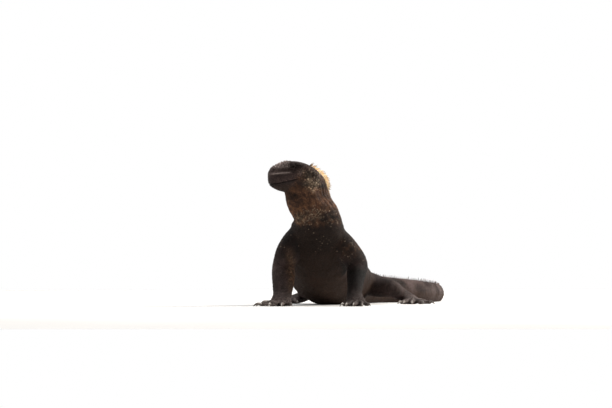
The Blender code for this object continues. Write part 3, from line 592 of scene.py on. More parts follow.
def head_rings():
    angles = np.linspace(0, 2 * math.pi, HEAD_SIDES, endpoint=False)
    cosine, sine = np.cos(angles), np.sin(angles)
    boxy = np.where(sine >= 0, CROWN_BOXINESS, JAW_BOXINESS)
    rings = []
    for distance, half, top, bottom in smooth_rows(HEAD_SECTIONS, SPANS):
        reach = np.where(sine >= 0, top - HEAD_LEVEL, HEAD_LEVEL - bottom)
        out = half * np.sign(cosine) * np.abs(cosine) ** (2 / boxy)
        up = HEAD_LEVEL + reach * np.sign(sine) * np.abs(sine) ** (2 / boxy)
        way = units(np.stack([out / half**2 + 1e-9, (up - HEAD_LEVEL) / top**2], axis=1))
        push = relief(distance, out, up)
        out, up = out + way[:, 0] * push, up + way[:, 1] * push
        rings.append([head_point(distance, o, u) for o, u in zip(out, up)])
    return rings


def digit_list():
    """Every digit: paw name, rows of its sections, its direction, tip and radius."""
    made = []
    for limb, stations in limbs().items():
        kind, side_word = limb.split("_")
        paw = ("hand_" if kind == "arm" else "foot_") + side_word
        digits = HAND_DIGITS if kind == "arm" else FOOT_DIGITS
        side = 1 if side_word == "left" else -1
        wrist, front = np.array(stations[-3][1:3], float), np.array(stations[-1][1:3], float)
        line = unit(front - wrist)
        across = np.array([-line[1], line[0]])
        across *= np.sign(across[0] * side)
        half = stations[-1][4] * PAW_FRONT_SHARE
        for share, turn, length, radius in digits:
            angle = math.radians(turn * PAW_SPREADS[paw] + PAW_TURNS[paw])
            way = line * math.cos(angle) + across * math.sin(angle)
            root = front + across * half * share - line * share**2 * PAW_FRONT_CURVE
            start = root - way * radius * DIGIT_ROOT
            rows = []
            for at, height, swell in DIGIT_ROWS:
                place = start + way * (length + radius * DIGIT_ROOT) * at
                thick = radius * swell
                deep = thick * DIGIT_FLATNESS
                rows.append((*place, radius * height, 0, 0, 1, thick, deep, deep, 0))
            made.append((paw, np.array(rows), np.array([*way, 0.0]), radius))
    return made


def claw_rings(tip, way, radius):
    """A claw that curves from the toe's end down to the ground."""
    narrow, low, ridge = CLAW_SECTION
    rows = []
    for share, size in smooth_rows(CLAW_ROWS, 2):
        place = tip + way * CLAW_LENGTH * share
        arch = math.sin(math.pi * min(max(share + CLAW_ARCH_START, 0), 1))
        lift = CLAW_ARCH * arch - CLAW_DROP * share**2
        depth = radius * size
        rows.append((*place[:2], tip[2] + lift, 0, 0, 1, depth * narrow, depth, depth * low, ridge))
    return section_rings(np.array(rows), CLAW_SIDES)


def build_skin():
    """The whole skin as one blended surface, still without its folds."""
    parts = [loft("trunk", section_rings(spine_rows(), BODY_SIDES))]
    for stations in limbs().values():
        parts.append(loft("limb", section_rings(limb_rows(stations), LIMB_SIDES)))
    flesh = blended(parts, FLESH_VOXEL, FLESH_SMOOTHING)
    parts = [flesh, loft("head", head_rings())]
    for _, rows, _, _ in digit_list():
        parts.append(loft("digit", section_rings(smooth_rows(rows, 3), DIGIT_SIDES)))
    return blended(parts, SKIN_VOXEL, SKIN_SMOOTHING)


def read_vectors(layer, key):
    values = np.empty(len(layer) * 3, np.float32)
    layer.foreach_get(key, values)
    return values.reshape(-1, 3).astype(float)


def points_of(item):
    return read_vectors(item.data.vertices, "co") / MM


def normals_of(item):
    return read_vectors(item.data.vertex_normals, "vector")


def put_points(item, points):
    item.data.vertices.foreach_set("co", (points * MM).astype(np.float32).ravel())
    item.data.update()


def refine_head(skin):
    """Halve the faces of the head, where the finest folds are."""
    form = bmesh.new()
    form.from_mesh(skin.data)
    form.verts.ensure_lookup_table()
    points = np.array([v.co[:] for v in form.verts]) / MM
    distance, sideways, up = head_places(points)
    inside = (distance < 56) & (np.abs(sideways) < 26) & (up > -24 + 0.2 * distance)
    edges = [e for e in form.edges if inside[e.verts[0].index] and inside[e.verts[1].index]]
    bmesh.ops.subdivide_edges(form, edges=edges, cuts=1, use_grid_fill=True, smooth=0.6)
    bmesh.ops.triangulate(form, faces=[f for f in form.faces if len(f.verts) > 4])
    form.to_mesh(skin.data)
    form.free()


class Axes:
    """Sections of the spine, limbs, digits and head, to tell where on the animal a point lies."""

    def __init__(self):
        parts = [("spine", spine_rows(), SPANS)]
        parts += [(name, limb_rows(stations), SPANS) for name, stations in limbs().items()]
        for k, (paw, rows, _, _) in enumerate(digit_list()):
            parts.append((f"{paw}_{k % 5}", smooth_rows(rows, 2), 2))
        upward = head_frame()[2]
        rows = [(*head_point(d, 0, 0), *upward, w, t, -b, 0) for d, w, t, b in HEAD_SECTIONS]
        parts.append(("head", smooth_rows(rows, 4), 4))
        names = [name for name, rows, _ in parts for _ in rows]
        self.names = np.array(names)
        kinds = {"hand": "paw", "foot": "paw"}
        self.kinds = [kinds.get(word, word) for word in (name.split("_")[0] for name in names)]
        self.numbers = np.concatenate([np.arange(len(rows)) / spans for _, rows, spans in parts])
        ways = zip(*(frames(rows[:, :3], rows[:, 3:6]) for _, rows, _ in parts))
        self.along, self.up, self.side = map(np.concatenate, ways)
        rows = np.concatenate([rows for _, rows, _ in parts])
        self.centres = rows[:, :3].copy()
        self.radii = (rows[:, 6] * 2 + rows[:, 7] + rows[:, 8]) / 4

    def nearest(self, points):
        """Which section each point lies nearest to in that section's own size, and each part's share."""
        best = np.empty(len(points), int)
        starts = [k for k in range(len(self.kinds)) if k == 0 or self.kinds[k] != self.kinds[k - 1]]
        shares = np.empty((len(points), len(starts)))
        for first in range(0, len(points), BLOCK):
            block = points[first : first + BLOCK]
            gap = (block**2).sum(1)[:, None] - 2 * block @ self.centres.T + (self.centres**2).sum(1)[None]
            reach = gap / (self.radii**2)[None]
            best[first : first + BLOCK] = reach.argmin(1)
            reach = np.sqrt(np.maximum(np.minimum.reduceat(reach, starts, axis=1), 0))
            share = np.exp((reach.min(1)[:, None] - reach) / SHARE_SOFTNESS)
            shares[first : first + BLOCK] = share / share.sum(1)[:, None]
        kinds = [self.kinds[k] for k in starts]
        return best, {kind: shares[:, [k == kind for k in kinds]].sum(1) for kind in set(kinds)}

    def read(self, points):
        """Where points lie: part's name, station number, angle from dorsal, way along, parts' shares."""
        at, shares = self.nearest(points)
        ahead = ((points - self.centres[at]) * self.along[at]).sum(1)
        other = np.clip(at + np.where(ahead > 0, 1, -1), 0, len(self.centres) - 1)
        beyond = ((points - self.centres[other]) * self.along[other]).sum(1)
        between = (self.names[other] == self.names[at]) & (ahead * beyond < 0)
        part = np.where(between, ahead / np.where(between, ahead - beyond, 1), 0)[:, None]
        centre, up, side = (a[at] * (1 - part) + a[other] * part for a in (self.centres, self.up, self.side))
        offset = points - centre
        angle = np.arctan2((offset * side).sum(1), (offset * up).sum(1))
        number = self.numbers[at] * (1 - part[:, 0]) + self.numbers[other] * part[:, 0]
        return self.names[at], number, angle, self.along[at], shares


def eye_ring(distance, up):
    """1 on the edge of the eye's opening, less inside it and more outside."""
    across = (distance - EYE_PLACE[0]) / EYE_OPENING[0]
    upwards = (up - EYE_PLACE[2]) / EYE_OPENING[1]
    return np.hypot(across, upwards)


def ear_ring(distance, up):
    """1 on the edge of the eardrum."""
    return np.hypot((distance - EAR_PLACE[0]) / EAR_SIZE[0], (up - EAR_PLACE[2]) / EAR_SIZE[1])


def head_folds(points):
    """How far the head's skin moves out: mouth, lips, labial edge, folds under the eye, nostril, ear."""
    distance, sideways, up = head_places(points)
    out = np.abs(sideways)
    here = 1 - rise(34, 39, distance)
    below = up - mouth_level(distance)
    lips = 0.30 * bell(below - 1.6, 1.1) + 0.22 * bell(below + 1.5, 1.1)
    total = (-1.0 * bell(below, 0.5) + lips * rise(1, 7, distance)) * here
    corner = bell(distance - 40, 2.4) * bell(up + 4.5 + (distance - 40) * 0.9, 2.4)
    total += -0.8 * corner * (out > 10)
    edge = up - (4.6 + 0.03 * distance)
    edge_here = (1 - rise(24, 32, distance)) * rise(-1, 5, distance)
    total += (0.30 * bell(edge - 0.2, 1.0) - 0.30 * bell(edge + 1.9, 1.1)) * edge_here
    warp = 0.5 * wander(points, 4, 14)
    for k, drop in enumerate(FOLDS_UNDER):
        sag = EYE_PLACE[2] - drop + 0.040 * (distance - 31.5) ** 2 + warp
        fold = bell(up - sag, 0.62) * bell(distance - 31.5, 6.0 - k)
        crease = bell(up - sag + 0.9, 0.5) * bell(distance - 31.5, 6.0 - k)
        total += (0.50 * fold - 0.50 * crease) * (out > 8)
    for at, reach in FOLDS_BEHIND:
        slant = distance - at - 0.10 * (up - 8) ** 2 / 4 + warp
        total += 0.40 * (bell(slant, 0.55) - bell(slant - 0.9, 0.5)) * bell(up - 8, reach) * (out > 8)
    for lift in FOLDS_OVER:
        arch = EYE_PLACE[2] + lift - 0.04 * (distance - 31) ** 2 + warp
        total += 0.35 * bell(up - arch, 0.6) * bell(distance - 31, 5.5) * (out > 8)
    nostril = np.hypot(distance - NOSTRIL_PLACE[0], up - NOSTRIL_PLACE[2])
    nostril_here = (out > 4) & (out < 14)
    total += (-1.7 * bell(nostril, 1.05) + 0.28 * bell(nostril - 2.0, 0.7)) * nostril_here
    ear = ear_ring(distance, up)
    total += (-1.3 * (1 - rise(0.70, 1.10, ear)) + 0.35 * bell(ear - 1.3, 0.25)) * (out > 14)
    return total


def lids_over_eyes(points):
    """Lay the lids over the eyeballs, and sink the skin behind each opening."""
    distance, sideways, up = head_places(points)
    ring = eye_ring(distance, up)
    for side in (1, -1):
        centre = head_point(EYE_PLACE[0], EYE_PLACE[1] * side, EYE_PLACE[2])
        offset = points - centre
        away = np.linalg.norm(offset, axis=1)
        near = (sideways * side > EYE_PLACE[1] - 1) & (away < EYE_RADIUS + 3)
        lid = EYE_RADIUS + 0.35 + 0.30 * bell(ring - 1.15, 0.14)
        inside = EYE_RADIUS - 1.5
        target = inside + (np.maximum(away, lid) - inside) * rise(0.86, 1.04, ring)
        points[near] = (centre + offset * (target / np.maximum(away, 1e-6))[:, None])[near]
    return points


def neck_folds(points):
    """Long folds down the sides of the neck, and slack creases across its base."""
    high, low = np.array(NECK_TOP, float), np.array(NECK_FOOT, float)
    along = unit(low - high)
    dorsal = unit(NECK_DORSAL - along * np.dot(NECK_DORSAL, along))
    side = np.cross(along, dorsal)
    offset = points - high
    down = offset @ along
    angle = np.abs(np.arctan2(offset @ side, offset @ dorsal))
    warp = wander(points, 22, 3) * 0.06 + wander(points, 6, 4) * 0.02
    here = rise(8, 20, down) * (1 - rise(42, 60, down))
    total = np.zeros(len(points))
    for at, width, height in NECK_FOLDS:
        total += height * bell(angle + warp - at, width)
        total -= 0.7 * height * bell(angle + warp - at - 1.3 * width, width * 0.55)
    slack = rise(30, 48, down) * (1 - rise(74, 96, down))
    wave = np.sin((down + wander(points, 20, 5) * 5) * 2 * math.pi / 8.5)
    creases = wander(points * (0.30, 0.30, 1.6), 8, 7) * rise(8, 18, down) * (1 - rise(50, 66, down))
    return total * here + 0.35 * creases + 0.40 * wave * slack * (0.5 + 0.5 * wander(points, 16, 6))


def limb_folds(names, number, points):
    """Wrinkles round the wrists, elbows, knees and ankles."""
    total = np.zeros(len(points))
    for word, joints in LIMB_FOLDS.items():
        here = np.char.startswith(names, word)
        for at, width in joints:
            wave = np.cos((number - at) * 2 * math.pi / LIMB_FOLD_PITCH + wander(points, 9, 9) * 2.4)
            total += here * 0.22 * wave * bell(number - at, width) * (0.6 + 0.4 * wander(points, 7, 10))
    return total


def fold_skin(skin, axes):
    """Draw the skin in under its scales and give it its folds."""
    points, normals = points_of(skin), normals_of(skin)
    names, number, angle, _, shares = axes.read(points)
    distance, sideways, up = head_places(points)
    on_head = (1 - rise(58, 64, distance)) * rise(-23, -17, up - 0.12 * distance)
    on_spine = shares["spine"] * (1 - on_head)
    move = head_folds(points) * on_head
    move += neck_folds(points) * (1 - rise(0.2, 0.8, on_head)) * shares["spine"]
    move += limb_folds(names, number, points)
    loose = 0.55 * wander(points, 24, 11) + 0.25 * wander(points, 9, 12)
    loose += 0.55 * wander(points * (0.55, 1.5, 0.55), 13, 44) * rise(3.6, 5.0, number)
    move += loose * on_spine * (1 - rise(8.4, 9.4, number))
    move += 0.06 * wander(points, 3.2, 13)
    NAPE_LINE.extend(crest_roots(surface_tree(skin), np.arange(0.0, 3.2, 0.05)))
    gap, at = nape_gap(points)
    nape = np.interp(at, *NAPE_RISE)
    move += NAPE_FOLD * bell(gap, 4.2) * nape * (0.9 + 0.2 * wander(points, 5, 15))
    points += normals * (move - SKIN_DEPTH)[:, None]
    points = lids_over_eyes(points)
    points[:, 2] = np.maximum(points[:, 2], SKIN_LOWEST)
    put_points(skin, points)
    skin.data.shade_smooth()


def zone_weights(points, names, number, angle, shares):
    """Shares of the coat's tones at each point: rust, pale fleck, gold (on the nape partly painted glow),
    grey, light grey (along the labial edge a painted highlight), olive.
    """
    x, y, z = points.T
    distance, sideways, up = head_places(points)
    head, spine, paw = shares["head"], shares["spine"], shares["paw"]
    arm, leg = shares["arm"], shares["leg"]
    front = 1 - rise(45, 75, y)
    broad, soft, fine = wander(points, 30, 23), wander(points, 13, 21), wander(points, 5, 22)
    collar = rise(102, 111, z + 4 * soft + 2 * fine)
    band = wander(points * (0.45, 0.45, 1.5), 12, 25)
    rust = spine * collar * (0.55 + 0.34 * soft + 0.25 * fine + 0.2 * broad + 0.35 * band)
    rust += head * rise(-4, -14, up + 3 * soft) * rise(20, 36, distance) * (0.6 + 0.4 * fine)
    rust += head * rise(46, 60, distance) * (1 - rise(0, 8, up)) * 0.35
    rust += head * bell(distance - 41, 5) * bell(up + 4 + 2 * soft, 8) * (0.75 + 0.4 * fine)
    rust += arm * bell(z - 74, 14) * (x > 20) * (0.15 + 0.4 * fine)
    strip = arm * (x < 0) * bell(x + 34 + 0.08 * (z - 45) + fine, 5.5)
    strip = strip * rise(10, 22, z) * (1 - rise(62, 80, z))
    rust += strip * 0.40
    # Gold along the crest on the nape: partly the hide's tone and partly painted glow of the back light
    gap, at = nape_gap(points)
    wide = np.interp(at, *GOLD_GLOW_REACH)
    gold = 1 - rise(0.35 * wide, wide, gap + 1.5 * fine + 0.9 * soft)
    gold = gold * (1 - rise(1.35, 1.75, at + 0.1 * fine))
    jowl = jowl_share(distance, sideways, up)
    gold += jowl * (0.05 + 0.16 * np.maximum(fine + 0.6 * soft, 0))
    ochre = spine * bell(np.hypot(x + 23, (z - 112) * 0.8), 5.0) * front
    rust += ochre
    gold += strip * 0.03
    cheek = head * bell(distance - 41, 5) * bell(up + 4, 7) * (0.03 + 0.04 * fine)
    gold += ochre * (0.16 + 0.14 * fine) + cheek
    fleck = np.zeros(len(points))
    for level, tall, across, broadness, share in THROAT_FLECKS:
        fleck += spine * bell(z - level, tall) * bell(x - across, broadness) * front * share
    fleck += arm * bell(z - 76, 12) * (x > 20) * 0.10
    fleck += arm * bell(z - 82, 10) * (x < -20) * 0.04
    round_eye = bell(np.hypot((distance - 31) / 12, (up - 13) / 6.5), 0.8)
    grey = head * (0.40 + 0.25 * soft) * (1 - 0.7 * rise(-5, -12, up)) * (1 - 0.75 * round_eye)
    grey += arm * (0.50 + 0.35 * soft + 0.2 * fine) * rise(75, 55, z + 6 * soft)
    grey *= 1 - 0.75 * strip
    grey += leg * (0.42 + 0.3 * soft)
    grey += spine * rise(9, 11, number) * (0.22 + 0.25 * soft)
    wrist = (arm + leg) * (names != "spine") * rise(5.2, 6.6, number)
    light = (paw * (0.27 + 0.25 * fine) + wrist * 0.20) * (1 - 0.75 * rise(7, 14, z))
    light += spine * rise(10.2, 14.5, number) * (0.05 + 0.12 * rise(0.4, 1.2, np.abs(angle)) + 0.10 * soft)
    crown = head * (1 - rise(23, 30, distance)) * rise(9.5, 14.5, up) * rise(3, 10, distance)
    light += crown * (0.72 + 0.40 * fine + 0.2 * soft)
    # Painted highlight along the ridge of the labial scales over the upper lip
    edge = up - (5.0 + 0.03 * distance)
    light += head * bell(edge, 1.1) * (1 - rise(20, 30, distance)) * rise(-1, 6, distance) * 0.60
    light += head * bell(np.hypot(distance - 40, up - 4), 3.2) * 0.35
    light += jowl * (0.06 + 0.08 * fine) + head * bell(distance - 9, 6) * bell(up - 9, 3.5) * 0.10
    grey += spine * rise(3.2, 4.5, number) * rise(1.7, 1.0, np.abs(angle)) * np.clip(soft + broad, 0, 1) * 0.5
    olive = spine * rise(108, 92, z) * rise(1.3, 2.0, np.abs(angle)) * 0.8
    olive += head * rise(-5, -12, up) * (1 - rise(20, 30, distance)) * 0.8
    return [np.clip(w, 0, 1) for w in (rust, fleck, gold, grey, light, olive)]


def met(tree, start, way):
    """Place and normal where a ray first meets the surface: a list of one, or an empty list."""
    place, normal, _, _ = tree.ray_cast(start, Vector(way))
    return [] if place is None else [(np.array(place) / MM, np.array(normal))]


def crest_roots(tree, numbers, offset=0.0):
    """Where the crest's spines stand on the skin: place, way up, way back, way aside and station."""
    rows, stations = crest_line()
    along = units(np.gradient(rows[:, :3], axis=0))
    made = []
    for number in numbers:
        centre = between_rows(number, stations, rows)
        way_up = unit(between_rows(number, stations, rows[:, 3:]))
        back = between_rows(number, stations, along)
        back = unit(back - way_up * np.dot(back, way_up))
        side = np.cross(way_up, back)
        start = Vector(centre + way_up * CREST_RAY + side * offset) * MM
        made += [(place, way_up, back, side, number) for place, _ in met(tree, start, -way_up)]
    return made


NAPE_LINE = []


def nape_gap(points):
    """Distance of each point from the crest's line on the nape, and the station of the nearest place."""
    places = np.array([place for place, *_ in NAPE_LINE])
    numbers = np.array([number for *_, number in NAPE_LINE])
    gap = np.full(len(points), 99.0)
    at = np.zeros(len(points))
    near = np.flatnonzero(np.linalg.norm(points - places.mean(0), axis=1) < 80)
    apart = np.linalg.norm(points[near, None] - places[None], axis=2)
    gap[near] = apart.min(1)
    at[near] = numbers[apart.argmin(1)]
    return gap, at


def jowl_share(distance, sideways, up):
    """Where the large scales behind the jaw's corner are."""
    warp = 3.2 * wander(np.stack((distance, sideways, up), 1), 8, 33)
    back = rise(38, 47, distance + warp) * (1 - rise(59, 71, distance + warp)) * (1 - rise(5, 13, up + warp))
    return back * rise(-23, -13, up + warp) * rise(8, 13, np.abs(sideways))


def mottling_and_painted_shade(points):
    """Mottling of the hide, and where it is darker: painted shade in the hollows round the eyes, painted
    shadow along the mouth, painted shade on the left forearm and on the chest, and darker under the chin, on
    the eardrums and round the neck's base.
    """
    distance, sideways, up = head_places(points)
    out = rise(6, 11, np.abs(sideways)) * (distance < 60)
    # Painted shade in the hollow round each eye
    socket = bell(np.hypot((distance - 32) / 11.5, (up - 13.5 - 0.1 * (distance - 31)) / 5.2), 1.0) * out
    below = up - mouth_level(distance)
    # Painted shadow along the line of the mouth
    mouth = bell(below + 1.2, 2.2) * (1 - rise(28, 40, distance)) * rise(-6, 2, distance)
    chin = rise(0, -6, below) * (1 - rise(26, 38, distance)) * (up > -30)
    face = 1 - 0.66 * socket - 0.58 * mouth * (distance < 60) - 0.34 * chin * (distance < 60)
    face += 0.16 * jowl_share(distance, sideways, up)
    x, y, z = points.T
    band = wander(points * (0.45, 0.45, 1.5), 11, 26) + 0.6 * wander(points, 6, 27)
    face = face * (1 + 0.30 * band * rise(102, 110, z) * (1 - rise(165, 172, z)) * rise(40, 60, distance))
    face = face * (1 + 0.16 * wander(points, 24, 28) + 0.10 * wander(points, 9, 29))
    face = face * (1 - 0.34 * bell((x - 6) / 7, 1.0) * bell((z - 146) / 12, 1.0) * rise(44, 56, distance))
    face = face * (1 - 0.45 * (1 - rise(0.8, 1.2, ear_ring(distance, up))) * (np.abs(sideways) > 12))
    # Painted shade on the lower left forearm
    arm = bell((z - 36) / 31, 1.0) * rise(27, 36, x) * (y < 60)
    front = 1 - rise(40, 60, y)
    # Painted shade on the chest under the neck
    chest = bell((z - 84) / 24, 1.0) * bell(x / 45, 1.0) * front
    collar = bell((z - 114) / 13, 1.0) * front * (1.05 + 0.95 * wander(points, 4, 30))
    return face * (1 - 0.88 * arm) * (1 - 0.66 * chest) * (1 - 0.42 * np.clip(collar, 0, 1.9))


def spacing_of(points, number, shares):
    """How far apart the scales stand at each point."""
    distance, sideways, up = head_places(points)
    head, spine = shares["head"], shares["spine"]
    crown = head * (1 - rise(27, 34, distance)) * rise(10, 14, up) * rise(1, 8, distance)
    jowl = jowl_share(distance, sideways, up)
    lids = head * (1 - rise(1.9, 3.6, eye_ring(distance, up))) * (np.abs(sideways) > 8)
    spacing = 1.38 - 0.16 * head - 0.14 * shares["paw"]
    spacing += spine * (0.75 * rise(9.0, 11.0, number) - 0.10 * rise(3.8, 2.8, number))
    return spacing + 1.6 * crown * (1 - lids) + 1.7 * jowl * (1 - crown) - 0.25 * lids


def row_on_head(tree, spots, side):
    """Places on the skin of one side of the head, for pairs of a distance and a level."""
    ahead, left, _, _ = head_frame()
    made = []
    for distance, level in spots:
        start = head_point(distance, HEAD_RAY * side, level)
        made += [(*found, -ahead) for found in met(tree, Vector(start * MM), -left * side)]
    return made


def set_places(skin):
    """Scales that stand in rows: lips, labial edge, lids, toes and the rings of the tail.

    Each row gives the place, normal, way along, spacing, and stretch along and across.
    """
    tree = surface_tree(skin)
    made = []
    for side in (1, -1):
        for offset, wide in LIP_ROWS:
            spots = [(d, mouth_level(d) + offset) for d in np.arange(4.5, 37, 2.3)]
            made += [(*found, 1.75, (1.0, wide)) for found in row_on_head(tree, spots, side)]
        spots = [(d, 5.0 + 0.03 * d) for d in np.arange(4.0, 29, 1.7)]
        made += [(*found, 1.5, (1.0, 0.85)) for found in row_on_head(tree, spots, side)]
        for ring, count, turned in LID_ROWS:
            turns = [2 * math.pi * (k + turned) / count for k in range(count)]
            long, tall = EYE_OPENING[0] * ring, EYE_OPENING[1] * ring
            spots = [(EYE_PLACE[0] + long * math.cos(t), EYE_PLACE[2] + tall * math.sin(t)) for t in turns]
            made += [(*found, 0.95, (1.0, 1.0)) for found in row_on_head(tree, spots, side)]
    for _, rows, way, radius in digit_list():
        rows = smooth_rows(rows, 12)
        run = run_along(rows)
        for at in np.arange(radius * DIGIT_ROOT * 0.8, run[-1] - 0.4, 1.75):
            start = Vector((between_rows(at, run, rows) + (0, 0, DIGIT_RAY)) * MM)
            made += [(*found, way, 1.9, (0.72, 1.35)) for found in met(tree, start, (0, 0, -1))]
    rows = spine_rows()
    run = run_along(rows)
    ways = frames(rows[:, :3], rows[:, 3:6])
    for k, at in enumerate(np.arange(run[int(TAIL_RINGS_FROM * SPANS)], run[-1] - 1.5, TAIL_PITCH)):
        centre, way, high, out = (between_rows(at, run, values) for values in (rows, *ways))
        half = np.interp(at, run, rows[:, 6] + rows[:, 7]) / 2
        count = max(6, int(2 * math.pi * half / TAIL_SPACING))
        for j in range(count):
            turn = 2 * math.pi * (j + 0.5 * (k % 2)) / count
            ray = unit(high * math.cos(turn) + out * math.sin(turn))
            start = Vector((centre + ray * TAIL_RAY) * MM)
            made += [(*found, way, 2.3, (1.3, 1.05)) for found in met(tree, start, -ray)]
    return made


def scattered(skin, axes, seed):
    """Places for the scales: the set rows first, then others spread evenly and at random between."""
    skin.data.calc_loop_triangles()
    corners = np.empty(len(skin.data.loop_triangles) * 3, np.int32)
    skin.data.loop_triangles.foreach_get("vertices", corners)
    corners = corners.reshape(-1, 3)
    points, normals = points_of(skin), normals_of(skin)
    _, number, _, _, shares = axes.read(points)
    spacing = spacing_of(points, number, shares)
    a, b, c = (points[corners[:, k]] for k in range(3))
    area = np.linalg.norm(np.cross(b - a, c - a), axis=1) / 2
    crowding = area / np.minimum(spacing[corners].mean(1), CROWDING_LIMIT) ** 2
    draw = np.random.default_rng(seed)
    chosen = draw.choice(len(corners), int(crowding.sum() * CANDIDATES), p=crowding / crowding.sum())
    portions = draw.dirichlet((1, 1, 1), len(chosen))[:, :, None]
    places = (points[corners[chosen]] * portions).sum(1)
    ways = units((normals[corners[chosen]] * portions).sum(1))
    apart = (spacing[corners[chosen]] * portions[:, :, 0]).sum(1)
    fixed = set_places(skin)
    loose = (places, ways, np.zeros((len(chosen), 3)), apart, np.ones((len(chosen), 2)))
    both = (np.concatenate(columns) for columns in zip(zip(*fixed), loose))
    places, ways, flow, apart, stretch = both
    tree = KDTree(len(places))
    for k, place in enumerate(places.tolist()):
        tree.insert(place, k)
    tree.balance()
    free = bytearray(b"\1") * len(places)
    kept, sizes = [], []
    for k, (place, reach) in enumerate(zip(places.tolist(), apart.tolist())):
        if free[k]:
            kept.append(k)
            sizes.append(reach)
            for _, other, _ in tree.find_range(place, reach * (0.8 if k < len(fixed) else 1.0)):
                free[other] = 0
    distance, _, up = head_places(places)
    knobbed = (apart > LARGE_SCALE) & (distance < 72) & (up > -26)
    blocked = set()
    for k in kept:
        if knobbed[k]:
            blocked.update(other for _, other, _ in tree.find_range(places[k].tolist(), apart[k] * BETWEEN))
    for k, place in enumerate(places.tolist()):
        if knobbed[k] and k not in blocked:
            kept.append(k)
            sizes.append(SMALL_SCALE)
            blocked.update(other for _, other, _ in tree.find_range(place, SMALL_SCALE))
    return places[kept], ways[kept], np.array(sizes), stretch[kept], flow[kept]


def scale_shapes(places, normals, flow, radius, height, sharp, lean, stretch, sides, profile, seed):
    """Points of many-sided scales: a sunk rim, shoulders and a peak that may lean back."""
    count = len(places)
    draw = np.random.default_rng(seed)
    normals = units(normals + draw.normal(0, 0.05, (count, 3)))
    along = units(flow - (flow * normals).sum(1)[:, None] * normals)
    across = np.cross(normals, along)
    radius = radius * draw.uniform(0.85, 1.16, count)
    height = height * draw.uniform(0.80, 1.25, count)
    turn = draw.uniform(0, 2 * math.pi / sides, count) * (stretch[:, 0] == stretch[:, 1])
    angles = turn[:, None] + np.arange(sides) * 2 * math.pi / sides
    rows = []
    for k, (share, level, back) in enumerate(profile):
        narrow = share * (1 - 0.42 * sharp * (k > 0))
        lift = height * (level - 0.12 * sharp * (0 < share < 1))
        ahead = np.cos(angles) * (narrow * stretch[:, 0])[:, None] + (lean * back)[:, None]
        aside = np.sin(angles) * (narrow * stretch[:, 1])[:, None]
        if share == 0:
            ahead, aside = ahead[:, :1], aside[:, :1]
        offset = along[:, None] * (ahead * radius[:, None])[:, :, None]
        offset = offset + across[:, None] * (aside * radius[:, None])[:, :, None]
        rows.append(places[:, None] + offset + normals[:, None] * lift[:, None, None])
    return np.concatenate(rows, axis=1)


def ring_triangles(sides, steps):
    """Triangles between rings of points: two for each side of each step."""
    made = []
    for i in range(steps):
        for k in range(sides):
            after = (k + 1) % sides
            a, b = i * sides, (i + 1) * sides
            made += [(a + k, a + after, b + after), (a + k, b + after, b + k)]
    return made


def scale_triangles(sides, rings):
    """Triangles of one scale: two rings of them for each step, and a fan on top."""
    last = (rings - 1) * sides
    fan = [(last + k, last + (k + 1) % sides, last + sides) for k in range(sides)]
    return ring_triangles(sides, rings - 1) + fan


def repeated(triangles, count, per):
    """The triangles of one small form for each of so many forms, which have as many points each."""
    return (np.array(triangles)[None] + (np.arange(count) * per)[:, None, None]).reshape(-1, 3)


def write_attribute(mesh, name, kind, values):
    layer = mesh.attributes.new(name, kind, "POINT")
    key = "color" if kind == "FLOAT_COLOR" else "value"
    layer.data.foreach_set(key, np.ascontiguousarray(values, np.float32).ravel())


def write_zones(mesh, weights, shade):
    """Store the coat's tones for the materials: three to a colour, and a shade that darkens or lightens each
    point: its tone, and on the scales and skin painted shade round the rims and between them.
    """
    rust, fleck, gold, grey, light, olive = weights
    ones = np.ones(len(rust))
    write_attribute(mesh, "tones_warm", "FLOAT_COLOR", np.stack([rust, fleck, gold, ones], 1))
    write_attribute(mesh, "tones_cool", "FLOAT_COLOR", np.stack([grey, light, olive, ones], 1))
    write_attribute(mesh, "shade", "FLOAT", shade)


def write_patches(mesh, roots, template, triangles):
    """Give each small form a patch of the map at its root's place."""
    corners = roots[:, None, :] + template[None] * PATCH
    corners = corners.reshape(-1, 2)[triangles.ravel()]
    layer = mesh.uv_layers.new(name="OFBake")
    layer.data.foreach_set("uv", corners.astype(np.float32).ravel())


def charted(names, number, angle):
    """Places on an unwrap of the skin: along each part, and round it, with a strip for each part."""
    place = np.zeros((len(names), 2))
    parts = sorted(set(names))
    for k, part in enumerate(parts):
        here = names == part
        span = number[here]
        along = (span - span.min()) / max(np.ptp(span), 1e-6)
        around = angle[here] / (2 * math.pi) + 0.5
        place[here, 0] = 0.01 + 0.98 * along
        place[here, 1] = (k + 0.02 + 0.96 * around) / len(parts)
    return place


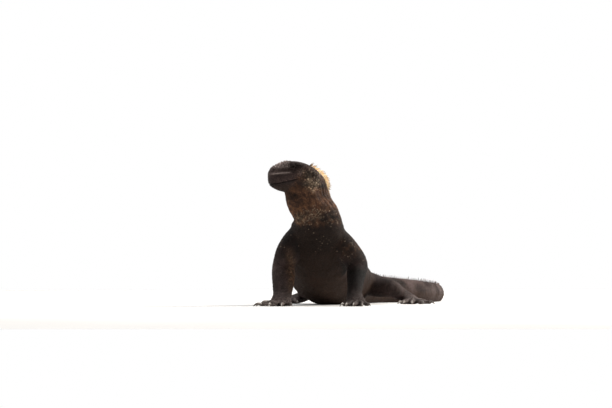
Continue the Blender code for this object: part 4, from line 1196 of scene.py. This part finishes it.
def add_scales(skin, axes):
    """Cover the skin with scales, in one joined mesh for each part of the body."""
    places, normals, apart, stretch, set_flow = scattered(skin, axes, SCATTER_SEED)
    names, number, angle, flow, shares = axes.read(places)
    flow = np.where(np.abs(set_flow).sum(1)[:, None] > 0, set_flow, flow)
    distance, sideways, up = head_places(places)
    head = names == "head"
    crown = head * (1 - rise(26, 34, distance)) * rise(9.5, 14.5, up) * rise(0, 8, distance)
    jowl = jowl_share(distance, sideways, up)
    smooth = head * (up < 6) * (1 - rise(30, 40, distance))
    keeled = (names == "spine") * rise(8.5, 10.5, number)
    knob = np.maximum(crown, jowl) * (apart > LARGE_SCALE)
    radius = apart * (0.75 - 0.22 * knob)
    tall = 0.65 * crown * (1 + 0.7 * bell(distance - 21, 6))
    height = 0.40 * apart * (1 + tall + 0.20 * jowl + 0.25 * keeled - 0.55 * smooth)
    sharp = np.clip(0.20 + 0.40 * crown + 0.35 * keeled, 0, 1)
    lean = 0.15 + 0.10 * crown + 0.30 * keeled
    open_eye = head & (eye_ring(distance, up) < 1.12) & (np.abs(sideways) > 8)
    nostril = head & (np.hypot(distance - NOSTRIL_PLACE[0], up - NOSTRIL_PLACE[2]) < 1.5)
    mouth = head & (np.abs(up - mouth_level(distance)) < 0.55) & (distance < 38)
    ear = (ear_ring(distance, up) < 1.05) & (np.abs(sideways) > 12)
    under = (places[:, 2] < 0.7) & (normals[:, 2] < -0.5)
    keep = ~(open_eye | nostril | mouth | ear | under)
    weights = zone_weights(places, names, number, angle, shares)
    draw = np.random.default_rng(TINT_SEED)
    speckle = draw.random(len(places))
    weights[1] = (speckle < weights[1]) * draw.uniform(0.15, 0.75, len(places))
    patchy = weights[2] * (1 - weights[2]) * 4 * (1 - 0.85 * jowl)
    weights[2] = np.clip(weights[2] + draw.normal(0, 0.30, len(places)) * patchy, 0, 1)
    tone_and_painted_shade = np.clip(draw.normal(1.0, 0.13 + 0.20 * jowl + 0.12 * crown, len(places)), 0.45, 1.7)
    # Random tone of each scale, with the mottling and painted shade; the small scales between the jowl's
    # knobs get painted shade as well
    tone_and_painted_shade *= mottling_and_painted_shade(places) * (1 - 0.45 * jowl * (apart < LARGE_SCALE))
    pieces = []
    for piece, part in part_masks(names, number).items():
        here = np.flatnonzero(keep & part)
        if not len(here):
            continue
        sides, profile = (9, HEAD_SCALE) if piece == "scales_head" else (6, BODY_SCALE)
        chosen = (places, normals, flow, radius, height, sharp, lean, stretch)
        shapes = scale_shapes(*(c[here] for c in chosen), sides, profile, SHAPE_SEED)
        per = shapes.shape[1]
        ring = np.array([share for share, _, _ in profile])
        ring = np.repeat(ring, [sides] * (len(profile) - 1) + [1])
        # Painted shade at each scale's sunk rim, growing lighter towards its peak
        shades = tone_and_painted_shade[here][:, None] * (0.50 + 0.65 * np.minimum((1 - ring) * 2.4, 1) ** 0.7)
        triangles = repeated(scale_triangles(sides, len(profile) - 1), len(here), per)
        made = triangle_mesh(piece, shapes.reshape(-1, 3), triangles)
        made.data.shade_smooth()
        zones = [np.repeat(w[here], per) for w in weights]
        zones[1] = (weights[1][here][:, None] * rise(1.0, 0.6, ring)).ravel()
        write_zones(made.data, zones, shades.ravel())
        corner = np.concatenate([np.tile(np.arange(sides), len(profile) - 1), [0]]) * 2 * math.pi / sides
        template = np.stack([np.cos(corner), np.sin(corner)], 1) * ring[:, None] / 2
        roots = charted(names[here], number[here], angle[here])
        write_patches(made.data, roots, template, triangles)
        pieces.append(made)
    return pieces


def part_masks(names, number):
    """The parts of the body that get a joined mesh of scales each."""
    spine = names == "spine"
    masks = {"scales_head": names == "head"}
    for word, low, high in TRUNK_PARTS:
        masks["scales_" + word] = spine & (number >= low) & (number < high)
    for limb in limbs():
        here = names == limb
        paw = limb.replace("arm", "hand").replace("leg", "foot")
        masks["scales_" + limb] = here & (number < PAW_STATION)
        masks["scales_" + paw] = (here & (number >= PAW_STATION)) | np.char.startswith(names, paw)
    return masks


def surface_tree(item):
    return BVHTree.FromPolygons(
        [v.co[:] for v in item.data.vertices], [p.vertices[:] for p in item.data.polygons]
    )


def add_crest(skin):
    """The crest from the back of the head to near the tail's tip, as flattened, curved spines."""
    tree = surface_tree(skin)
    rows, numbers = crest_line()
    run = run_along(rows)
    stations, lengths, pitches = np.array(CREST_ROWS).T
    draw = np.random.default_rng(CREST_SEED)
    shapes, gold_glows, shades, roots = [], [], [], []
    lines = [(o, size, last) for a, size, last in CREST_LINES for o in sorted({a, -a}, reverse=True)]
    for offset, size, last in lines:
        place = np.interp(stations[0], numbers, run) + 0.5 * abs(offset)
        while place < np.interp(min(last, stations[-1]), numbers, run):
            number = np.interp(place, run, numbers)
            place += np.interp(number, stations, pitches) * (1 if offset == 0 else 0.9)
            length = np.interp(number, stations, lengths) * draw.uniform(0.68, 1.15) * size
            found = crest_roots(tree, [number], offset + draw.normal(0, 0.15))
            if not found:
                continue
            root, way_up, back, side, _ = found[0]
            way_up = unit(way_up + side * (draw.normal(0, 0.10) + 0.07 * offset))
            full = np.interp(number, *CREST_FULLNESS)
            lean = draw.uniform(0.10, 0.52) * np.interp(number, *CREST_LEAN)
            shapes.append(spine_shape(root, way_up, back, side, length, lean, full))
            gold_glows.append(np.interp(number, *CREST_GOLD_GLOW))
            shades.append(draw.normal(1, 0.1))
            roots.append(number)
    return crest_mesh(*map(np.array, (shapes, gold_glows, shades, roots)))


def spine_shape(root, up, back, side, length, lean, full):
    """Points of one spine: rings that narrow and lean back, and a tip."""
    angles = np.arange(CREST_SIDES) * 2 * math.pi / CREST_SIDES
    made = []
    for share, size in CREST_PROFILE:
        bend = lean * share * 1.1
        centre = root + up * (length * share * math.cos(bend * 0.8))
        centre = centre + back * (length * share * math.sin(bend))
        deep, wide = length * CREST_BASE * size * full, max(length * CREST_WIDTH * size * full, 0.12)
        made.append(centre + np.outer(np.cos(angles) * deep, back) + np.outer(np.sin(angles) * wide, side))
    return np.concatenate(made)


def crest_mesh(shapes, gold_glows, shades, numbers):
    """One mesh of all spines, which are golden on the nape, partly as painted glow of the back light, and
    turn grey along the tail.
    """
    count, per = shapes.shape[:2]
    rings = len(CREST_PROFILE)
    last = (rings - 1) * CREST_SIDES
    fan = [(last, last + k, last + k + 1) for k in range(1, CREST_SIDES - 1)]
    triangles = repeated(ring_triangles(CREST_SIDES, rings - 1) + fan, count, per)
    made = triangle_mesh("crest", shapes.reshape(-1, 3), triangles)
    made.data.shade_smooth()
    share = np.repeat([s for s, _ in CREST_PROFILE], CREST_SIDES)[None]
    gold = gold_glows[:, None] * (1 - 0.9 * rise(0.55, 1.0, share))
    grey = np.broadcast_to(0.35 * rise(9, 12, numbers)[:, None] + 0.10, gold.shape)
    none = np.zeros(gold.size)
    zones = [none, none, gold.ravel(), grey.ravel(), none, none]
    write_zones(made.data, zones, (shades[:, None] * (1 - 0.25 * rise(0.3, 1.0, share))).ravel())
    around = np.tile(np.arange(CREST_SIDES) * 2 * math.pi / CREST_SIDES, rings)
    template = np.stack([np.cos(around), share[0] * 2 - 1], 1) / 2
    roots = np.stack([0.01 + 0.98 * numbers / numbers.max(), 0.3 + 0.4 * (np.arange(count) % 7) / 7], 1)
    write_patches(made.data, roots, template, triangles)
    return made


def add_claws():
    """One piece of five claws for each paw."""
    made = {}
    for paw, rows, way, radius in digit_list():
        tip = rows[-1][:3]
        made.setdefault(paw, []).append(loft("claw", claw_rings(tip, way, radius)))
    pieces = []
    for paw, claws in made.items():
        piece = joined(claws)
        piece.name = "claws_" + paw
        piece.data.shade_smooth()
        pieces.append(piece)
    return pieces


def add_eye(side):
    """An eyeball with its cornea a little raised over the iris."""
    name = "eyeball_left" if side > 0 else "eyeball_right"
    ahead, left, up, _ = head_frame()
    facing = unit(ahead * EYE_FACING[0] + left * side * EYE_FACING[1] + up * EYE_FACING[2])
    centre = head_point(EYE_PLACE[0], EYE_PLACE[1] * side, EYE_PLACE[2])
    mesh = bpy.data.meshes.new(name)
    form = bmesh.new()
    across, upwards = EYE_SEGMENTS
    bmesh.ops.create_uvsphere(form, u_segments=across, v_segments=upwards, radius=1)
    turn = Vector(facing).to_track_quat("Z", "Y").to_matrix()
    for vertex in form.verts:
        angle = math.acos(max(-1, min(1, vertex.co.z)))
        swell = 1 + CORNEA_RISE * math.exp(-(angle / CORNEA_REACH) ** 4)
        vertex.co = turn @ (vertex.co * EYE_RADIUS * swell * MM) + Vector(centre) * MM
    form.to_mesh(mesh)
    form.free()
    mesh.shade_smooth()
    return linked(name, mesh), centre + facing * EYE_RADIUS


class Nodes:
    """Short calls for a material's node tree."""

    def __init__(self, material):
        self.tree = material.node_tree

    def add(self, kind, **settings):
        node = self.tree.nodes.new("ShaderNode" + kind)
        for key, value in settings.items():
            setattr(node, key, value)
        return node

    def fill(self, node, sockets):
        """Give each socket its value, or link it to the one that the value comes from."""
        for key, value in sockets.items():
            if isinstance(value, bpy.types.NodeSocket):
                self.tree.links.new(value, node.inputs[key])
            else:
                node.inputs[key].default_value = value
        return node

    def place(self):
        return self.add("TexCoord").outputs["Object"]

    def attribute(self, name):
        return self.add("Attribute", attribute_type="GEOMETRY", attribute_name=name)

    def noise(self, scale, detail=3.0, roughness=0.55):
        settings = {"Scale": scale, "Detail": detail, "Roughness": roughness, "Vector": self.place()}
        return self.fill(self.add("TexNoise"), settings).outputs["Fac"]

    def ranged(self, value, low, high, start=0.0, end=1.0):
        limits = {"From Min": start, "From Max": end, "To Min": low, "To Max": high}
        return self.fill(self.add("MapRange"), {**limits, "Value": value}).outputs["Result"]

    def mixed(self, share, first, second, blend="MIX"):
        node = self.add("Mix", data_type="RGBA", blend_type=blend)
        return self.fill(node, {0: share, 6: first, 7: second}).outputs[2]

    def shaded(self, colour, value):
        """A colour made darker or lighter by a value."""
        grey = self.fill(self.add("CombineColor"), {0: value, 1: value, 2: value})
        return self.mixed(1.0, colour, grey.outputs[0], "MULTIPLY")

    def bumped(self, height, strength, distance):
        settings = {"Strength": strength, "Distance": distance, "Height": height}
        return self.fill(self.add("Bump"), settings).outputs["Normal"]


def new_material(name, roughness, specular):
    """A material, its shader and the calls for its nodes."""
    material = bpy.data.materials.new(name)
    material.use_nodes = True
    nodes = Nodes(material)
    shader = material.node_tree.nodes["Principled BSDF"]
    nodes.fill(shader, {"Roughness": roughness, "Specular IOR Level": specular})
    return material, shader, nodes


def hide_material(name, roughness, bump):
    """Scaly hide whose tones come from the shares stored on the mesh, broken up by noise."""
    material, shader, nodes = new_material(name, roughness, 0.15)
    warm, cool = (
        nodes.fill(nodes.add("SeparateColor"), {0: nodes.attribute(tones).outputs["Color"]}).outputs
        for tones in ("tones_warm", "tones_cool")
    )
    rust = nodes.mixed(nodes.ranged(nodes.noise(210, 4), 0, 1, 0.40, 0.62), RUST, RUST_BRIGHT)
    colour = nodes.mixed(nodes.ranged(nodes.noise(70), 0, 1, 0.35, 0.65), UMBER_DARK, UMBER)
    tones = ((cool[2], OLIVE), (cool[0], GREY), (warm[0], rust), (cool[1], LIGHT), (warm[2], GOLD_AND_GLOW))
    for share, tone in (*tones, (warm[1], FLECK)):
        colour = nodes.mixed(share, colour, tone)
    grain = nodes.ranged(nodes.noise(900, 2), 0.78, 1.22, 0.3, 0.7)
    # The stored shade holds each point's tone together with the painted shade round and between the scales
    shade = nodes.attribute("shade").outputs["Fac"]
    value = nodes.fill(nodes.add("Math", operation="MULTIPLY"), {0: shade, 1: grain}).outputs[0]
    sockets = {
        "Base Color": nodes.shaded(colour, value),
        "Roughness": nodes.ranged(nodes.noise(400), roughness - 0.10, roughness + 0.12, 0.3, 0.7),
        "Normal": nodes.bumped(nodes.noise(2600, 3), bump, 0.0004),
    }
    nodes.fill(shader, sockets)
    return material


def crest_material():
    """The hide's tones on thin horn, which lets a little light through."""
    material = hide_material("crest", 0.55, 0.3)
    glow = {"Weight": 0.35, "Radius": (1.0, 0.6, 0.35), "Scale": 0.003}
    for key, value in glow.items():
        material.node_tree.nodes["Principled BSDF"].inputs["Subsurface " + key].default_value = value
    return material


def claw_material():
    """Dark horn with streaks of a paler one."""
    material, shader, nodes = new_material("claw_horn", 0.42, 0.5)
    streaks = nodes.noise(520, 4, 0.7)
    colour = nodes.mixed(nodes.ranged(streaks, 0, 1, 0.35, 0.65), HORN_DARK, HORN_PALE)
    nodes.fill(shader, {"Base Color": colour, "Normal": nodes.bumped(streaks, 0.35, 0.0003)})
    return material


def eye_material(name, front):
    """Black pupil in a dark brown iris, under a wet cornea."""
    material, shader, nodes = new_material(name, 0.16, 0.12)
    away = nodes.fill(nodes.add("VectorMath", operation="DISTANCE"), {0: nodes.place(), 1: front})
    ramp = nodes.add("ValToRGB")
    nodes.fill(ramp, {0: nodes.ranged(away.outputs["Value"], 0, 1, 0.0, EYE_REACH)})
    stops = ramp.color_ramp.elements
    stops[0].position, stops[0].color = 0.0, PUPIL
    stops[1].position, stops[1].color = 1.0, EYE_RIM
    for at, tone in EYE_RINGS:
        stops.new(at).color = tone
    fibres = nodes.ranged(nodes.noise(1800, 4, 0.7), 0.6, 1.4, 0.3, 0.7)
    colour = nodes.shaded(ramp.outputs[0], fibres)
    nodes.fill(shader, {"Base Color": colour, "Coat Weight": 0.03, "Coat Roughness": 0.03})
    return material


def floor_material():
    """Pale matte ground with faint unevenness."""
    material, shader, nodes = new_material("floor_pale", 0.85, 0.2)
    unevenness = nodes.ranged(nodes.noise(3, 4), 0, 1, 0.3, 0.7)
    nodes.fill(shader, {"Base Color": nodes.mixed(unevenness, FLOOR_LOW, FLOOR_HIGH)})
    return material


def aimed(name, data, place, target):
    """A light or camera at its place, pointed at its target."""
    made = linked(name, data)
    made.location = place
    made.rotation_euler = (target - made.location).to_track_quat("-Z", "Y").to_euler()
    return made


def add_stage(shift):
    """Floor, lights, world and camera."""
    bpy.ops.mesh.primitive_plane_add(size=FLOOR_SIZE, location=(0, 0, 0))
    floor = bpy.context.object
    floor.name = "floor"
    floor.data.materials.append(floor_material())
    for name, place, target, size, power, colour in LIGHTS:
        data = bpy.data.lights.new(name, "AREA")
        data.size = size
        data.energy = power
        data.color = colour
        aimed(name, data, Vector(place) + shift, Vector(target) + shift)
    world = bpy.data.worlds.new("studio")
    bpy.context.scene.world = world
    world.use_nodes = True
    nodes = Nodes(world)
    split = nodes.fill(nodes.add("SeparateXYZ"), {0: nodes.add("TexCoord").outputs["Generated"]})
    share = nodes.ranged(split.outputs["Y"], 0, 1, *WALL_TURN)
    wall = nodes.mixed(share, WALL_FRONT, WALL_BEHIND)
    nodes.fill(world.node_tree.nodes["Background"], {"Color": wall})
    bpy.context.scene.view_settings.view_transform = "Standard"
    data = bpy.data.cameras.new("camera")
    data.sensor_width = 36
    data.lens = CAMERA_LENS
    data.clip_end = 60
    place, target = (Vector(point) * MM + shift for point in (CAMERA_PLACE, CAMERA_TARGET))
    bpy.context.scene.camera = aimed("camera", data, place, target)


def dress(item, material, shift):
    """Keep a finished piece above the ground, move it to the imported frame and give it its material."""
    points = points_of(item)
    points[:, 2] = np.maximum(points[:, 2], LOWEST)
    put_points(item, points)
    item.data.transform(Matrix.Translation(shift))
    item.data.materials.clear()
    item.data.materials.append(material)
    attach(item, "root")


def main():
    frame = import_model()
    low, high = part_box("eye_left")
    shift = (Vector(low) + Vector(high)) / 2 - Vector(head_point(*EYE_PLACE) * MM)
    shift.z = 0
    skin = build_skin()
    skin.name = "skin"
    refine_head(skin)
    axes = Axes()
    fold_skin(skin, axes)
    points = points_of(skin)
    names, number, angle, _, shares = axes.read(points)
    weights = zone_weights(points, names, number, angle, shares)
    weights[1] = weights[1] * 0.3
    # The skin between the scales gets painted shade: a little over half as bright as the scales, with the
    # same mottling
    write_zones(skin.data, weights, 0.55 * mottling_and_painted_shade(points))
    scales = add_scales(skin, axes)
    crest = add_crest(skin)
    hide = hide_material("hide", 0.62, 0.5)
    dress(skin, hide, shift)
    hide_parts(*[n for n in frame["nodes"] if not n.startswith("eye")])
    for piece in scales:
        dress(piece, hide, shift)
    dress(crest, crest_material(), shift)
    claws = claw_material()
    for piece in add_claws():
        dress(piece, claws, shift)
    for side, node in ((1, "eye_left"), (-1, "eye_right")):
        eye, front = add_eye(side)
        dress(eye, eye_material(node, Vector(front) * MM + shift), shift)
        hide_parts(node)
    add_stage(shift)


main()
